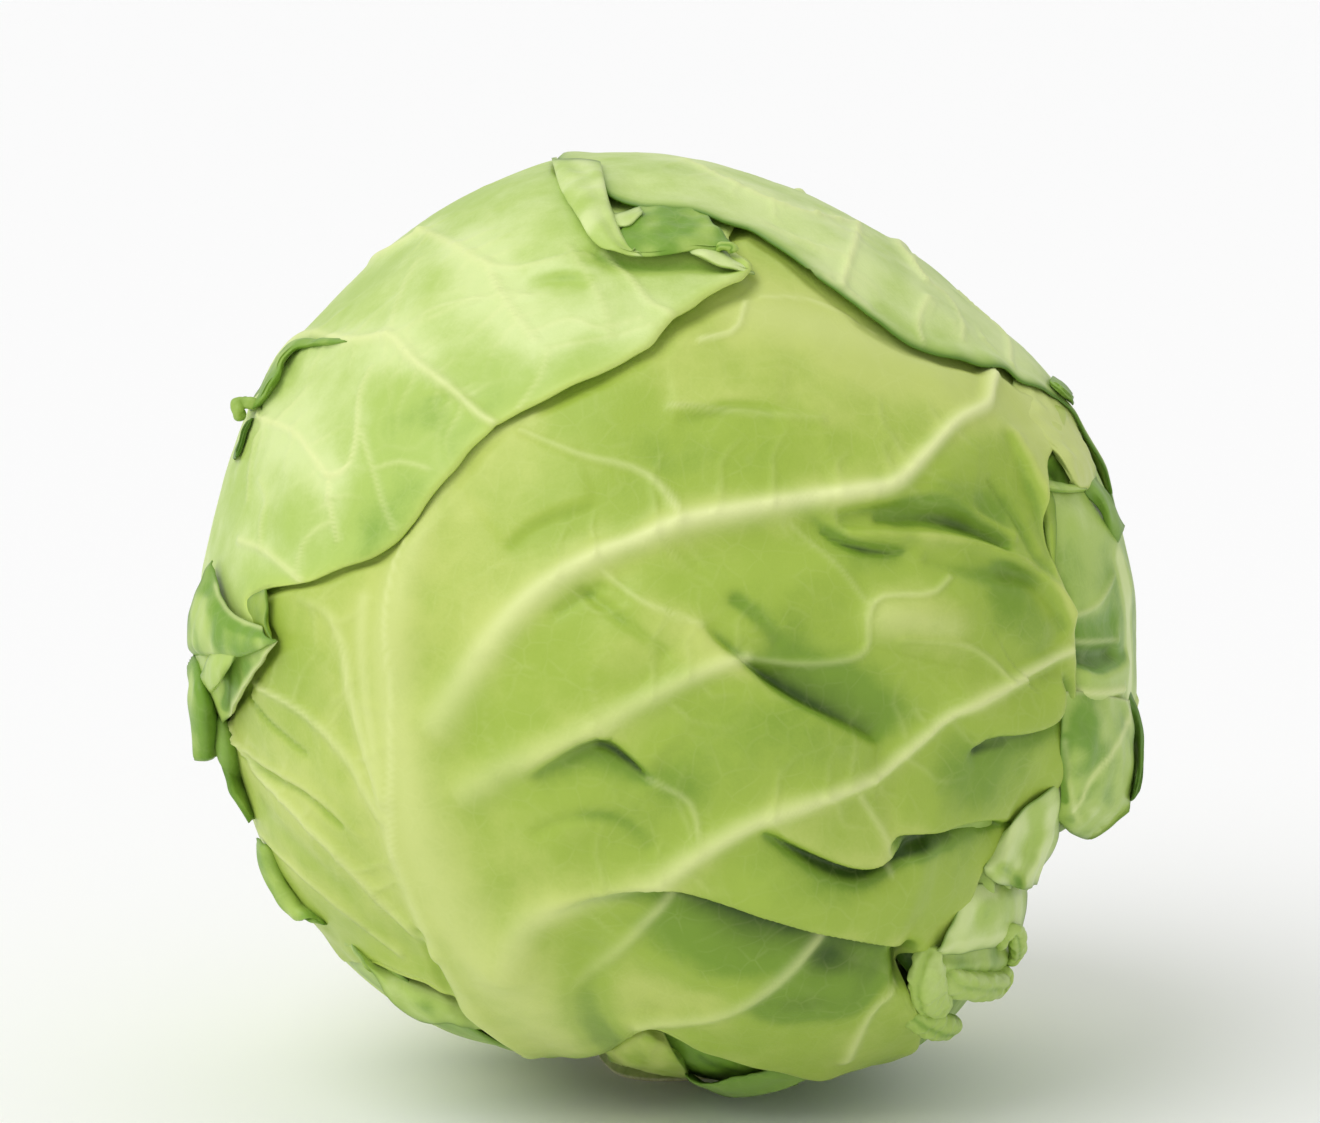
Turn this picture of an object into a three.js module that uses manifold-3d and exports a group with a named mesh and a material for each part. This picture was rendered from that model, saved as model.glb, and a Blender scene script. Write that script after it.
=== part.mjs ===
// A round green cabbage head, as picked: a tight inner head on a cut stem, wrapped in loose outer
// leaves with raised ribs. Every leaf is a closed sheet of its own that lies over the leaves below it.
// Millimetres, +Z up. The origin is the middle of the stem's cut face, on which the head stands.
// The front of the head faces -Y, and +X is its right-hand side.

import * as THREE from "three";
import { mergeVertices } from "three/addons/utils/BufferGeometryUtils.js";
import Module from "manifold-3d";

const wasm = await Module();
wasm.setup();

const { clamp, smoothstep, lerp, degToRad } = THREE.MathUtils;

// ---------------------------------------------------------------- driving dimensions

const MIDDLE = new THREE.Vector3(-2, -8, 92); // the middle of the head
const VIEW_TILT = degToRad(10); // the front view looks this far down on the head
const VIEW_DISTANCE = 900; // from the eye of the front view to the middle of the head
const HALF_DEPTH = 91; // half of the head's size from front to back
// The front view's outline: its radius every 15 degrees, anticlockwise from the right-hand side.
const OUTLINE_RADII = [
  94, 91.5, 91, 87.5, 88.5, 89, 91.5, 93.5, 92, 90.5, 92, 91, 93, 93.5, 93, 91, 91, 88.5, 89, 94, 98, 95,
  90, 95,
];
const OUTLINE_STEP = (2 * Math.PI) / OUTLINE_RADII.length;

const LEAF_THICKNESS = 1.2;
const LEAF_GAP = 1.4; // free space between two leaves that lie on each other
const LEAF_PITCH = LEAF_THICKNESS + LEAF_GAP;
const HEART_GAP = 3.4;
const HEART_OVER_STEM = 0.5;
const DRAPE = 18; // an upper leaf starts to rise this far before the edge of the one below it
const DRAPED = 6; // and has risen this far before it
const RELIEF_END = 7; // a leaf's ribs and folds start to fade this far before the edge of a leaf over it
const SAG_END = 18; // and a leaf that hangs to the table starts to rise this far before that edge
const UNDERSIDE = 9; // how far above the table the head's underside is flattened
const LEAST_HEIGHT = 0.6; // no leaf but the one that lies on the table comes lower
const UNDERSIDE_ROUNDING = 3; // how gently it turns flat
// A hollow in the underside runs from the stem to the front, widening the view of the cut stem.
const HOLLOW = { x: -5, halfWidth: 13, rise: 15, start: -8, end: -46 };
const CUT_CLEARANCE = 0.35; // kept between a leaf and the neighbour that trims it
const FINEST_EDGE = 0.03;
const RIB_STEP = 15;
const FLAP_STEPS = 9;

const STEM_RADIUS = 16;
const STEM_HEIGHT = 13;
const STEM_CHAMFER = 1.2;

const GREEN = { pale: 0xc5d487, mid: 0xb4cc72, deep: 0x9fbf5e, heart: 0xd6dfa0, stem: 0xa9b56c };

// ---------------------------------------------------------------- directions from the head's middle

const VIEW_UP = new THREE.Vector3(0, Math.sin(VIEW_TILT), Math.cos(VIEW_TILT));
const VIEW_AWAY = new THREE.Vector3(0, Math.cos(VIEW_TILT), -Math.sin(VIEW_TILT));

// The outline's radius at an angle, by a closed Catmull-Rom curve through OUTLINE_RADII.
function outlineRadius(angle) {
  const count = OUTLINE_RADII.length;
  const place = (((angle / OUTLINE_STEP) % count) + count) % count;
  const i = Math.floor(place);
  const t = place - i;
  const [a, b, c, d] = [-1, 0, 1, 2].map((k) => OUTLINE_RADII[(i + k + count) % count]);
  return b + 0.5 * t * (c - a + t * (2 * a - 5 * b + 4 * c - d + t * (3 * (b - c) + d - a)));
}

// The direction of the point that the front view shows at x to the right of the middle and z above it.
function front(x, z) {
  const share = Math.min(Math.hypot(x, z) / outlineRadius(Math.atan2(z, x)), 0.999);
  const away = -HALF_DEPTH * Math.sqrt(1 - share * share);
  const nearer = 1 + away / VIEW_DISTANCE; // what is nearer looks larger
  return new THREE.Vector3(x * nearer, 0, 0)
    .addScaledVector(VIEW_UP, z * nearer)
    .addScaledVector(VIEW_AWAY, away)
    .normalize();
}

// A direction by its angle round the head (0 front, 90 right, 180 back) and above its middle, in degrees.
function around(azimuth, elevation) {
  const [a, e] = [degToRad(azimuth), degToRad(elevation)];
  return new THREE.Vector3(Math.sin(a) * Math.cos(e), -Math.cos(a) * Math.cos(e), Math.sin(e));
}

// How much higher the underside is at a direction because of the hollow in it.
function hollowRise(dir) {
  if (dir.z > -0.2) return 0;
  const foot = MIDDLE.clone().addScaledVector(dir, -MIDDLE.z / dir.z);
  const across = (foot.x - HOLLOW.x) / HOLLOW.halfWidth;
  return HOLLOW.rise * Math.exp(-(across ** 2)) * smoothstep(-foot.y, -HOLLOW.start, -HOLLOW.end);
}

// How far the head reaches along a direction: an ellipsoid whose front view has the outline's radii,
// grown by lift, and flattened softly so that it stays floor above the table.
function headRadius(dir, lift, floor) {
  const across = dir.x;
  const up = dir.dot(VIEW_UP);
  const share = Math.hypot(across, up) / outlineRadius(Math.atan2(up, across));
  const radius = 1 / Math.hypot(share, dir.dot(VIEW_AWAY) / HALF_DEPTH) + lift;
  const lowest = floor + hollowRise(dir);
  const height = MIDDLE.z + radius * dir.z - lowest;
  if (dir.z > -0.2 || height > 6 * UNDERSIDE_ROUNDING) return radius;
  const kept = UNDERSIDE_ROUNDING * Math.log1p(Math.exp(height / UNDERSIDE_ROUNDING));
  return (kept + lowest - MIDDLE.z) / dir.z;
}

// ---------------------------------------------------------------- the leaves, innermost first

const LEAVES = [
  {
    name: "leaf_base_back",
    colour: GREEN.deep,
    pole: around(168, -42),
    edge: [
      around(168, -4), around(140, -10), around(118, -28), around(116, -50), around(130, -70),
      around(168, -78), around(-155, -72), around(-135, -56), around(-132, -30), around(-150, -10),
    ],
    rise: 0.6,
    cells: 9,
    ribs: [
      { path: [around(168, -74), around(168, -50), around(166, -20)], width: [15, 4], height: [3, 0.8] },
    ],
  },
  {
    name: "leaf_base_left",
    colour: GREEN.mid,
    pole: around(-88, -46),
    edge: [
      around(-88, -16), around(-60, -26), around(-44, -44), around(-38, -62), around(-50, -76),
      around(-95, -78), around(-122, -66), around(-126, -46), around(-116, -26),
    ],
    rise: 0.4,
    cells: 9,
    ribs: [
      { path: [around(-80, -74), around(-84, -50), around(-88, -28)], width: [13, 4], height: [2.4, 0.8] },
    ],
  },
  {
    name: "leaf_base_right",
    colour: GREEN.deep,
    pole: around(38, -66),
    edge: [
      around(38, -38), around(12, -48), around(4, -62), around(10, -76), around(60, -80),
      around(84, -70), around(78, -52), around(62, -42),
    ],
    lift: 9,
    floor: -3,
    rise: 0,
    cells: 9,
    ribs: [],
  },
  {
    name: "leaf_low_right",
    colour: GREEN.mid,
    pole: around(66, -34),
    edge: [
      around(66, -2), around(40, -8), around(32, -30), around(38, -52), front(53, -76), front(62, -75),
      front(68, -69), front(72, -60), front(74, -52), around(86, -56), around(92, -72), around(122, -74),
      around(110, -46), around(104, -28), around(98, -8),
    ],
    rise: 1.5,
    spare: 0.8,
    wave: { size: 1.4, count: 9, phase: 0 },
    cells: 10,
    ribs: [],
    curls: [
      { path: [front(58, -60), front(66, -60), front(72, -64)], radius: [4, 5], out: 2.5 },
      { path: [front(55, -70), front(63, -71), front(69, -73)], radius: [4.5, 5.5], out: 2 },
      { path: [front(52, -79), front(55, -81), front(58, -82)], radius: [3.5, 4.5], out: 1 },
    ],
  },
  {
    name: "leaf_right",
    colour: GREEN.mid,
    pole: around(88, 8),
    edge: [
      around(88, 54), around(60, 46), around(50, 20), around(50, -8), front(70, -38), front(79, -45),
      front(87, -43), around(84, -24), around(98, -26), around(112, -46), around(126, -66),
      around(148, -72),
      around(148, -52), around(140, -22), around(134, 10), around(122, 38),
    ],
    rise: 3.5,
    wave: { size: 1.6, count: 5, phase: 1.2 },
    cells: 13,
    ribs: [
      { path: [front(80, -32), front(88, -26), front(93.5, -12)], width: [4, 3], height: [1.2, 0.8] },
      { path: [around(124, -58), around(108, -20), around(92, 22)], width: [8, 3], height: [1.8, 0.6] },
    ],
  },
  {
    name: "leaf_front",
    colour: GREEN.pale,
    pole: front(0, -4),
    edge: [
      front(-7, -80), front(0, -79.5), front(8, -83), front(17, -88), front(28, -90.5),
      front(41, -91.5), front(51, -87), front(54, -81), front(52, -72), front(58, -62), front(64, -54),
      front(70, -44), front(77, -34), front(80, -24), front(81, -14), front(81.5, -4), front(80, 3),
      front(77, 10), front(77, 17), front(76, 24), front(80, 28.5), front(86.5, 31), front(85.5, 38),
      around(92, 34), around(104, 46), around(135, 60), around(180, 68), around(-135, 60),
      around(-112, 44), around(-104, 24), around(-103, 4), around(-104, -14), around(-105, -30),
      around(-96, -42), around(-76, -44), front(-58, -65.6), front(-47, -69.6), front(-37, -75),
      front(-29, -81.6), around(-46, -70), around(-62, -79), around(-36, -80), around(-16, -66),
    ],
    rise: 0.8,
    cells: 24,
    ribs: [
      {
        path: [
          around(-52, -76), front(-19, -84), front(-30, -71), front(-43, -48), front(-51, -21),
          front(-52, 4),
          front(-49, 22), front(-36, 39),
        ],
        width: [24, 9],
        height: [4.2, 1.2],
      },
      {
        path: [
          front(-45, -14), front(-37, -4), front(-27, 6), front(-13, 14), front(4, 20), front(20, 24),
          front(38, 27), front(50, 32), front(58, 39), front(64, 46), front(65.5, 50),
        ],
        width: [8, 4.5],
        height: [1.7, 1.2],
      },
      {
        path: [
          front(-34, -62), front(-27, -58), front(-13, -52), front(0, -47), front(18, -38),
          front(36, -31), front(52, -22), front(66, -13), front(77, -7),
        ],
        width: [8, 4],
        height: [1.7, 1.1],
      },
      {
        path: [
          front(-40, -36), front(-22, -21), front(-8, -14), front(8, -8), front(18, -6.5), front(38, -5),
        ],
        width: [6, 2.5],
        height: [1.2, 0.5],
      },
      {
        path: [front(-53, -33), front(-56, -18), front(-60, -4), front(-66, 4), front(-73, 7)],
        width: [6, 3],
        height: [1.2, 0.6],
      },
      {
        path: [front(-49, -42), front(-60, -30), front(-72, -19), front(-82, -11)],
        width: [5, 2.6],
        height: [1.2, 0.6],
      },
      {
        path: [front(-43, -58), front(-60, -43), front(-76, -28), front(-86, -17)],
        width: [4.5, 2.4],
        height: [1.2, 0.6],
      },
      {
        path: [front(-4, -79), front(9, -77.5), front(20, -71), front(32, -63)],
        width: [5, 3],
        height: [1.1, 0.7],
      },
    ],
    folds: [
      {
        path: [front(-29, -60), front(3, -53), front(31, -61.5), front(48, -64), front(58, -61)],
        height: 2.6,
        reach: 26,
      },
      { path: [front(62, -23.5), front(70, -22), front(76, -20), front(80, -14)], height: 2, reach: 12 },
    ],
  },
  {
    name: "leaf_left",
    colour: GREEN.mid,
    pole: around(-122, 12),
    edge: [
      front(17.4, 71), front(3, 60), front(-3, 55.4), front(-13, 49), front(-25, 43.8), front(-33, 40.6),
      front(-38, 35.8), front(-45, 27.4), front(-53, 18.4), front(-59, 12.8), front(-65, 11.4),
      front(-73, 8.4), front(-81, 7), front(-84, 3), front(-79, -3), front(-83, -9), front(-87, -16),
      around(-93, -18), around(-95, -28), around(-98, -40), around(-108, -54), around(-128, -72),
      around(-156, -75), around(-164, -58), around(-170, -38), around(-176, -10), around(-176, 22),
      around(170, 50),
      around(120, 74),
    ],
    rise: 1.2,
    wave: { size: 0.9, count: 11, phase: 0.6 },
    cells: 18,
    ribs: [
      {
        path: [
          around(-142, -72), around(-134, -60), around(-132, -36), around(-130, -10), around(-126, 20),
          around(-118, 46),
        ],
        width: [20, 6],
        height: [3.6, 1.2],
      },
      {
        path: [
          around(-126, 14), around(-108, 25), front(-71, 56), front(-56, 58.5), front(-46, 48),
          front(-36, 41.5),
        ],
        width: [5, 2.6],
        height: [1.3, 0.7],
      },
      {
        path: [
          around(-129, -4), around(-112, 8), front(-84, 42), front(-72, 36), front(-65, 27),
          front(-62, 12.5),
        ],
        width: [4, 2.2],
        height: [1.1, 0.6],
      },
      {
        path: [around(-119, 44), front(-57, 77), front(-44, 73), front(-34, 66), front(-24, 56)],
        width: [4, 2.2],
        height: [1.1, 0.6],
      },
      {
        path: [around(-131, -20), around(-115, -14), around(-100, -6)],
        width: [5, 2.4],
        height: [1.2, 0.6],
      },
      {
        path: [around(-131, -26), around(-148, -10), around(-160, 6)],
        width: [5, 2.4],
        height: [1.2, 0.6],
      },
    ],
  },
  {
    name: "leaf_back",
    colour: GREEN.mid,
    pole: around(162, 24),
    edge: [
      front(-20, 89), front(-12, 85), front(-5, 83.6), front(7, 83), front(17, 79.6), front(22, 75.8),
      front(27, 71.4), front(35, 64.8), front(42, 60.4), front(49, 55.8), front(57, 53.4), front(64, 51.4),
      front(71, 49), front(77, 45.8), front(82, 40.4), front(86, 33.4), around(89, 18), around(97, 10),
      around(99, -4), around(94, -16), around(96, -26), around(108, -42), around(134, -66),
      around(150, -74),
      around(178, -74), around(-162, -58), around(-154, -30), around(-149, 0), around(-147, 30),
      around(-135, 55),
      around(-90, 72),
    ],
    rise: 1.4,
    wave: { size: 0.9, count: 13, phase: 0 },
    cells: 18,
    ribs: [
      {
        path: [
          around(165, -72), around(165, -56), around(166, -20), around(163, 20), around(155, 50),
          around(120, 70),
        ],
        width: [20, 5],
        height: [3.6, 1.2],
      },
      {
        path: [around(165, -26), around(140, -8), around(118, 4), around(104, 12)],
        width: [6, 2.6],
        height: [1.4, 0.6],
      },
      { path: [around(166, -30), around(-174, -10), around(-162, 8)], width: [6, 2.6], height: [1.4, 0.6] },
      {
        path: [around(166, 2), around(140, 22), around(118, 32), around(98, 36)],
        width: [5.5, 2.6],
        height: [1.3, 0.6],
      },
      {
        path: [around(160, 34), around(125, 50), front(62, 60), front(58, 54)],
        width: [4.6, 2.2],
        height: [1.2, 0.6],
      },
    ],
    flap: {
      inner: [front(-12, 92), front(-11, 86), front(-7, 79), front(-4, 76), front(6, 75.4), front(14, 76)],
      outer: [front(-21, 92), front(-18, 86), front(-13, 78), front(-6, 74.6), front(6, 73.6), front(17, 71.4)],
      out: 2.2,
    },
  },
];

// ---------------------------------------------------------------- where a leaf's edge runs

// Two axes square to a leaf's pole: bearings are measured from the first towards the second.
function axesAt(pole) {
  const side = Math.abs(pole.z) < 0.9 ? new THREE.Vector3(0, 0, 1) : new THREE.Vector3(1, 0, 0);
  const first = side.cross(pole).normalize();
  return [first, new THREE.Vector3().crossVectors(pole, first)];
}

function bearingAndArc(leaf, dir) {
  const [first, second] = leaf.axes;
  return [Math.atan2(dir.dot(second), dir.dot(first)), Math.acos(clamp(dir.dot(leaf.pole), -1, 1))];
}

function directionAt(leaf, bearing, arc) {
  const [first, second] = leaf.axes;
  return leaf.pole
    .clone()
    .multiplyScalar(Math.cos(arc))
    .addScaledVector(first, Math.sin(arc) * Math.cos(bearing))
    .addScaledVector(second, Math.sin(arc) * Math.sin(bearing));
}

// The arc from the pole to the edge at a bearing, straight from one of the edge's points to the next.
function arcBetween(points, bearing) {
  const next = points.findIndex(([b]) => b > bearing);
  const wrapped = next <= 0;
  const [b0, a0] = wrapped ? points[points.length - 1] : points[next - 1];
  const [b1, a1] = wrapped ? points[0] : points[next];
  const span = wrapped ? b1 - b0 + 2 * Math.PI : b1 - b0;
  const gone = bearing - b0 + (bearing < b0 ? 2 * Math.PI : 0);
  return lerp(a0, a1, gone / span);
}

// The same arc, straight between the points where the leaf's cells meet its edge.
function edgeArc(leaf, bearing) {
  const place = (bearing / (2 * Math.PI)) * leaf.cellArcs.length + leaf.cellArcs.length;
  const i = Math.floor(place);
  const [a, b] = [i, i + 1].map((k) => leaf.cellArcs[k % leaf.cellArcs.length]);
  return lerp(a, b, place - i);
}

for (const leaf of LEAVES) {
  leaf.axes = axesAt(leaf.pole);
  const points = leaf.edge.map((dir) => bearingAndArc(leaf, dir)).sort((a, b) => a[0] - b[0]);
  const sides = 4 * leaf.cells;
  leaf.cellArcs = Array.from({ length: sides }, (_, i) => {
    const bearing = (2 * Math.PI * i) / sides;
    return arcBetween(points, bearing > Math.PI ? bearing - 2 * Math.PI : bearing);
  });
}

// How far a direction is inside a leaf's edge, along the head's surface. It is negative outside.
function insideBy(leaf, dir) {
  const [bearing, arc] = bearingAndArc(leaf, dir);
  return (edgeArc(leaf, bearing) - arc) * HALF_DEPTH;
}

// How much of a leaf's relief is lost at a direction because a later leaf lies over it there.
function coverOver(leaf, dir, reach = RELIEF_END) {
  const later = LEAVES.slice(LEAVES.indexOf(leaf) + 1);
  return Math.max(0, ...later.map((over) => smoothstep(insideBy(over, dir), -reach, -1.5)));
}

// How far out the outer face of a leaf lies along a direction, draped over every leaf below it.
function outerFace(leaf, dir) {
  const faces = [];
  for (const next of LEAVES) {
    const cover = next.lift ? coverOver(next, dir, SAG_END) : 0;
    const floor = lerp(next.floor ?? UNDERSIDE, UNDERSIDE, cover);
    let radius = headRadius(dir, (next.lift ?? 0) * (1 - cover), floor);
    for (const [under, face] of faces) {
      const draped = smoothstep(insideBy(under, dir), -DRAPE, -DRAPED);
      radius = Math.max(radius, lerp(radius, face + LEAF_PITCH + (under.spare ?? 0), draped));
    }
    if (next === leaf) return radius;
    faces.push([next, radius]);
  }
  throw new Error("no such leaf");
}

// ---------------------------------------------------------------- solids

function solidFrom(positions, indices) {
  const geometry = new THREE.BufferGeometry();
  geometry.setAttribute("position", new THREE.Float32BufferAttribute(positions.flatMap((p) => p.toArray()), 3));
  geometry.setIndex(indices);
  return solidOf(geometry);
}

function solidOf(geometry) {
  const merged = mergeVertices(geometry, 1e-3);
  return new wasm.Manifold(
    new wasm.Mesh({
      numProp: 3,
      vertProperties: merged.attributes.position.array,
      triVerts: new Uint32Array(merged.index.array),
    }),
  );
}

function geometryOf(solid) {
  const mesh = solid.getMesh();
  const geometry = new THREE.BufferGeometry();
  geometry.setAttribute("position", new THREE.BufferAttribute(mesh.vertProperties, 3));
  geometry.setIndex(new THREE.BufferAttribute(mesh.triVerts, 1));
  return geometry;
}

// The largest body of a solid, without the slivers that cutting leaves.
function largestBody(solid) {
  const bodies = solidOf(geometryOf(solid.simplify(FINEST_EDGE))).decompose();
  return bodies.reduce((a, b) => (a.volume() > b.volume() ? a : b));
}

// A point along a direction from the middle, kept off the table.
function pointAt(dir, radius, lowest = LEAST_HEIGHT) {
  const point = MIDDLE.clone().addScaledVector(dir, radius);
  point.z = Math.max(point.z, lowest);
  return point;
}

// A square cell place (-1 to 1 both ways) as a bearing and a share of the way to the edge, so that the
// square's sides become the leaf's edge and its cells keep their share of the area.
function squareToLeaf(a, b) {
  if (a === 0 && b === 0) return [0, 0];
  if (Math.abs(a) > Math.abs(b)) return [(Math.PI / 4) * (b / a) + (a < 0 ? Math.PI : 0), Math.abs(a)];
  return [Math.PI / 2 - (Math.PI / 4) * (a / b) + (b < 0 ? Math.PI : 0), Math.abs(b)];
}

// The height of a leaf's folds at a point: each stands up on the left of its path and dies away from it.
function foldHeight(leaf, dir) {
  let height = 0;
  for (const fold of leaf.folds ?? []) {
    const line = fold.path.map((d) => d.clone().multiplyScalar(HALF_DEPTH));
    const at = dir.clone().multiplyScalar(HALF_DEPTH);
    for (let i = 1; i < line.length; i++) {
      const run = line[i].clone().sub(line[i - 1]);
      const share = clamp(at.clone().sub(line[i - 1]).dot(run) / run.lengthSq(), 0, 1);
      const off = at.clone().sub(line[i - 1].clone().addScaledVector(run, share));
      const left = run.cross(off).dot(dir) > 0;
      const along = (i - 1 + share) / (line.length - 1);
      const ends = smoothstep(along, 0, 0.35);
      if (left) height = Math.max(height, fold.height * ends * Math.exp(-off.length() / fold.reach));
    }
  }
  return height;
}

// The leaf's sheet: an outer and an inner face on the same cells, joined round the edge.
function leafSheet(leaf, grow = 0) {
  const count = leaf.cells;
  const lowest = Math.max(0, leaf.floor ?? LEAST_HEIGHT);
  const outer = [];
  const inner = [];
  for (let j = 0; j <= count; j++) {
    for (let i = 0; i <= count; i++) {
      const [bearing, share] = squareToLeaf((2 * i) / count - 1, (2 * j) / count - 1);
      const turned = Math.atan2(Math.sin(bearing), Math.cos(bearing));
      const arc = (edgeArc(leaf, turned) + grow / HALF_DEPTH) * share;
      const dir = directionAt(leaf, turned, arc);
      const wave = leaf.wave ? leaf.wave.size * Math.sin(leaf.wave.count * turned + leaf.wave.phase) : 0;
      const lifted = leaf.rise * share ** 8 + Math.max(0, wave) * share ** 5 + foldHeight(leaf, dir);
      const radius = outerFace(leaf, dir) + lifted * (1 - coverOver(leaf, dir));
      outer.push(pointAt(dir, radius + grow, lowest));
      inner.push(pointAt(dir, radius - LEAF_THICKNESS - grow, lowest + LEAF_THICKNESS));
    }
  }
  const row = count + 1;
  const under = outer.length;
  const indices = [];
  for (let j = 0; j < count; j++) {
    for (let i = 0; i < count; i++) {
      const [p, q, r, s] = [j * row + i, j * row + i + 1, (j + 1) * row + i + 1, (j + 1) * row + i];
      indices.push(p, q, r, p, r, s);
      indices.push(under + p, under + r, under + q, under + p, under + s, under + r);
    }
  }
  const rim = [];
  for (let i = 0; i < count; i++) rim.push(i);
  for (let j = 0; j < count; j++) rim.push(j * row + count);
  for (let i = count; i > 0; i--) rim.push(count * row + i);
  for (let j = count; j > 0; j--) rim.push(j * row);
  rim.forEach((a, k) => {
    const b = rim[(k + 1) % rim.length];
    indices.push(a, under + a, under + b, a, under + b, b);
  });
  return solidFrom([...outer, ...inner], indices);
}

// A closed solid through rings of the same number of points, one after the other.
function through(rings) {
  const size = rings[0].length;
  const points = rings.flat();
  const indices = [];
  for (let k = 0; k + 1 < rings.length; k++) {
    for (let i = 0; i < size; i++) {
      const [a, b] = [k * size + i, k * size + ((i + 1) % size)];
      indices.push(a, b, b + size, a, b + size, a + size);
    }
  }
  const last = (rings.length - 1) * size;
  for (let i = 1; i + 1 < size; i++) {
    indices.push(0, i + 1, i);
    indices.push(last, last + i, last + i + 1);
  }
  return solidFrom(points, indices);
}

// The places along a path on a leaf, at even steps.
function alongLeaf(leaf, path, given) {
  const curve = new THREE.CatmullRomCurve3(path, false, "centripetal");
  const steps = given ?? Math.max(4, Math.round((curve.getLength() * HALF_DEPTH) / RIB_STEP));
  return Array.from({ length: steps + 1 }, (_, k) => {
    const dir = curve.getPoint(k / steps).normalize();
    const ahead = curve.getTangent(k / steps);
    const run = ahead.addScaledVector(dir, -ahead.dot(dir)).normalize();
    const side = new THREE.Vector3().crossVectors(run, dir);
    const cover = coverOver(leaf, dir);
    const radius = outerFace(leaf, dir) + foldHeight(leaf, dir) * (1 - cover);
    return { share: k / steps, dir, side, cover, radius };
  });
}

// A raised rib that follows its path, sunk into the leaf's outer face: a low trapezoid where it is
// wide, and a ridge where it is narrow.
function rib(leaf, { path, width, height }, grow = 0) {
  const wide = width[0] > 10;
  const rings = alongLeaf(leaf, path).map(({ share, dir, side, cover, radius }) => {
    const w = lerp(width[0], width[1], Math.sqrt(share)) + 2 * grow;
    const h = lerp(lerp(height[0], height[1], Math.sqrt(share)), -0.3, cover) + grow;
    const sink = 0.5 + (w * w) / (8 * HALF_DEPTH);
    const crest = wide ? [[w * 0.2, h], [-w * 0.2, h]] : [[0, h]];
    return [[-w / 2, -sink], [w / 2, -sink], ...crest].map(([across, up]) =>
      pointAt(dir, radius + up).addScaledVector(side, -across),
    );
  });
  return through(rings);
}

// A rolled lobe of the leaf's edge: a thick round finger with a blunt end.
function curl(leaf, { path, radius: size, out }, grow = 0) {
  const sides = 6;
  const rings = alongLeaf(leaf, path).map(({ share, dir, side, radius }) => {
    const swell = lerp(size[0], size[1], share) * Math.sqrt(1 - 0.7 * share ** 6) + grow;
    const centre = pointAt(dir, radius + out * share, swell + LEAST_HEIGHT);
    return Array.from({ length: sides }, (_, i) => {
      const turn = (2 * Math.PI * i) / sides;
      return centre
        .clone()
        .addScaledVector(side, -swell * Math.cos(turn))
        .addScaledVector(dir, 0.7 * swell * Math.sin(turn));
    });
  });
  return through(rings);
}

// The folded-over strip of the crown: a band between two paths, raised off the leaf.
function flapStrip(leaf, { inner, outer, out }) {
  const [far, near] = [inner, outer].map((path) => alongLeaf(leaf, path, FLAP_STEPS));
  const rings = far.map((a, k) => {
    const b = near[k];
    return [
      pointAt(b.dir, b.radius + out * 0.7),
      pointAt(b.dir, b.radius + out * 0.4 - LEAF_THICKNESS),
      pointAt(a.dir, a.radius + out - LEAF_THICKNESS),
      pointAt(a.dir, a.radius + out),
    ];
  });
  return through(rings);
}

// A whole leaf: its sheet with its ribs, rolled lobes and folded strip.
function leafSolid(leaf, grow = 0) {
  const added = [
    ...leaf.ribs.map((spec) => rib(leaf, spec, grow)),
    ...(leaf.curls ?? []).map((spec) => curl(leaf, spec, grow)),
    ...(leaf.flap ? [flapStrip(leaf, leaf.flap)] : []),
  ];
  return added.reduce((solid, more) => solid.add(more), leafSheet(leaf, grow));
}

// ---------------------------------------------------------------- the pieces

// The tight inner head, a closed ball of cells just under the leaves, flattened underneath.
function heartSolid() {
  const ball = new THREE.IcosahedronGeometry(1, 5);
  ball.deleteAttribute("normal");
  ball.deleteAttribute("uv");
  const merged = mergeVertices(ball, 1e-5);
  const place = merged.attributes.position;
  const triangles = merged.index
    ? Array.from(merged.index.array)
    : Array.from({ length: place.count }, (_, i) => i);
  const points = Array.from({ length: place.count }, (_, i) => {
    const dir = new THREE.Vector3().fromBufferAttribute(place, i).normalize();
    const inset = LEAF_THICKNESS + HEART_GAP;
    return MIDDLE.clone().addScaledVector(dir, headRadius(dir, -inset, STEM_HEIGHT + HEART_OVER_STEM));
  });
  return solidFrom(points, triangles);
}

// The cut stem: a stub with an uneven round outline, a chamfered foot and a flat cut face.
function stemSolid(grow = 0) {
  const sides = 28;
  const ring = (height, inset) =>
    Array.from({ length: sides }, (_, i) => {
      const turn = (2 * Math.PI * i) / sides;
      const radius = STEM_RADIUS + 0.7 * Math.sin(3 * turn + 1) + 0.4 * Math.sin(5 * turn) - inset + grow;
      return new THREE.Vector3(radius * Math.cos(turn), radius * Math.sin(turn), height);
    });
  return through([
    ring(-grow, STEM_CHAMFER),
    ring(STEM_CHAMFER, 0),
    ring(STEM_HEIGHT * 0.6, 0.6),
    ring(STEM_HEIGHT + grow, -0.8),
  ]);
}

function pieceMesh(name, solid, colour, roughness) {
  const material = new THREE.MeshStandardMaterial({ color: colour, roughness, metalness: 0, flatShading: true });
  const mesh = new THREE.Mesh(geometryOf(solid), material);
  mesh.name = name;
  return mesh;
}

const cabbage = new THREE.Group();
cabbage.add(pieceMesh("stem", stemSolid(), GREEN.stem, 0.8));
cabbage.add(pieceMesh("heart", heartSolid(), GREEN.heart, 0.55));

const rooms = [stemSolid(CUT_CLEARANCE)]; // what is already there, each a little larger than life
for (const leaf of LEAVES) {
  const trimmed = rooms.reduce((solid, room) => solid.subtract(room), leafSolid(leaf));
  cabbage.add(pieceMesh(leaf.name, largestBody(trimmed), leaf.colour, 0.5));
  rooms.push(leafSolid(leaf, CUT_CLEARANCE));
}

export default cabbage;
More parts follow.
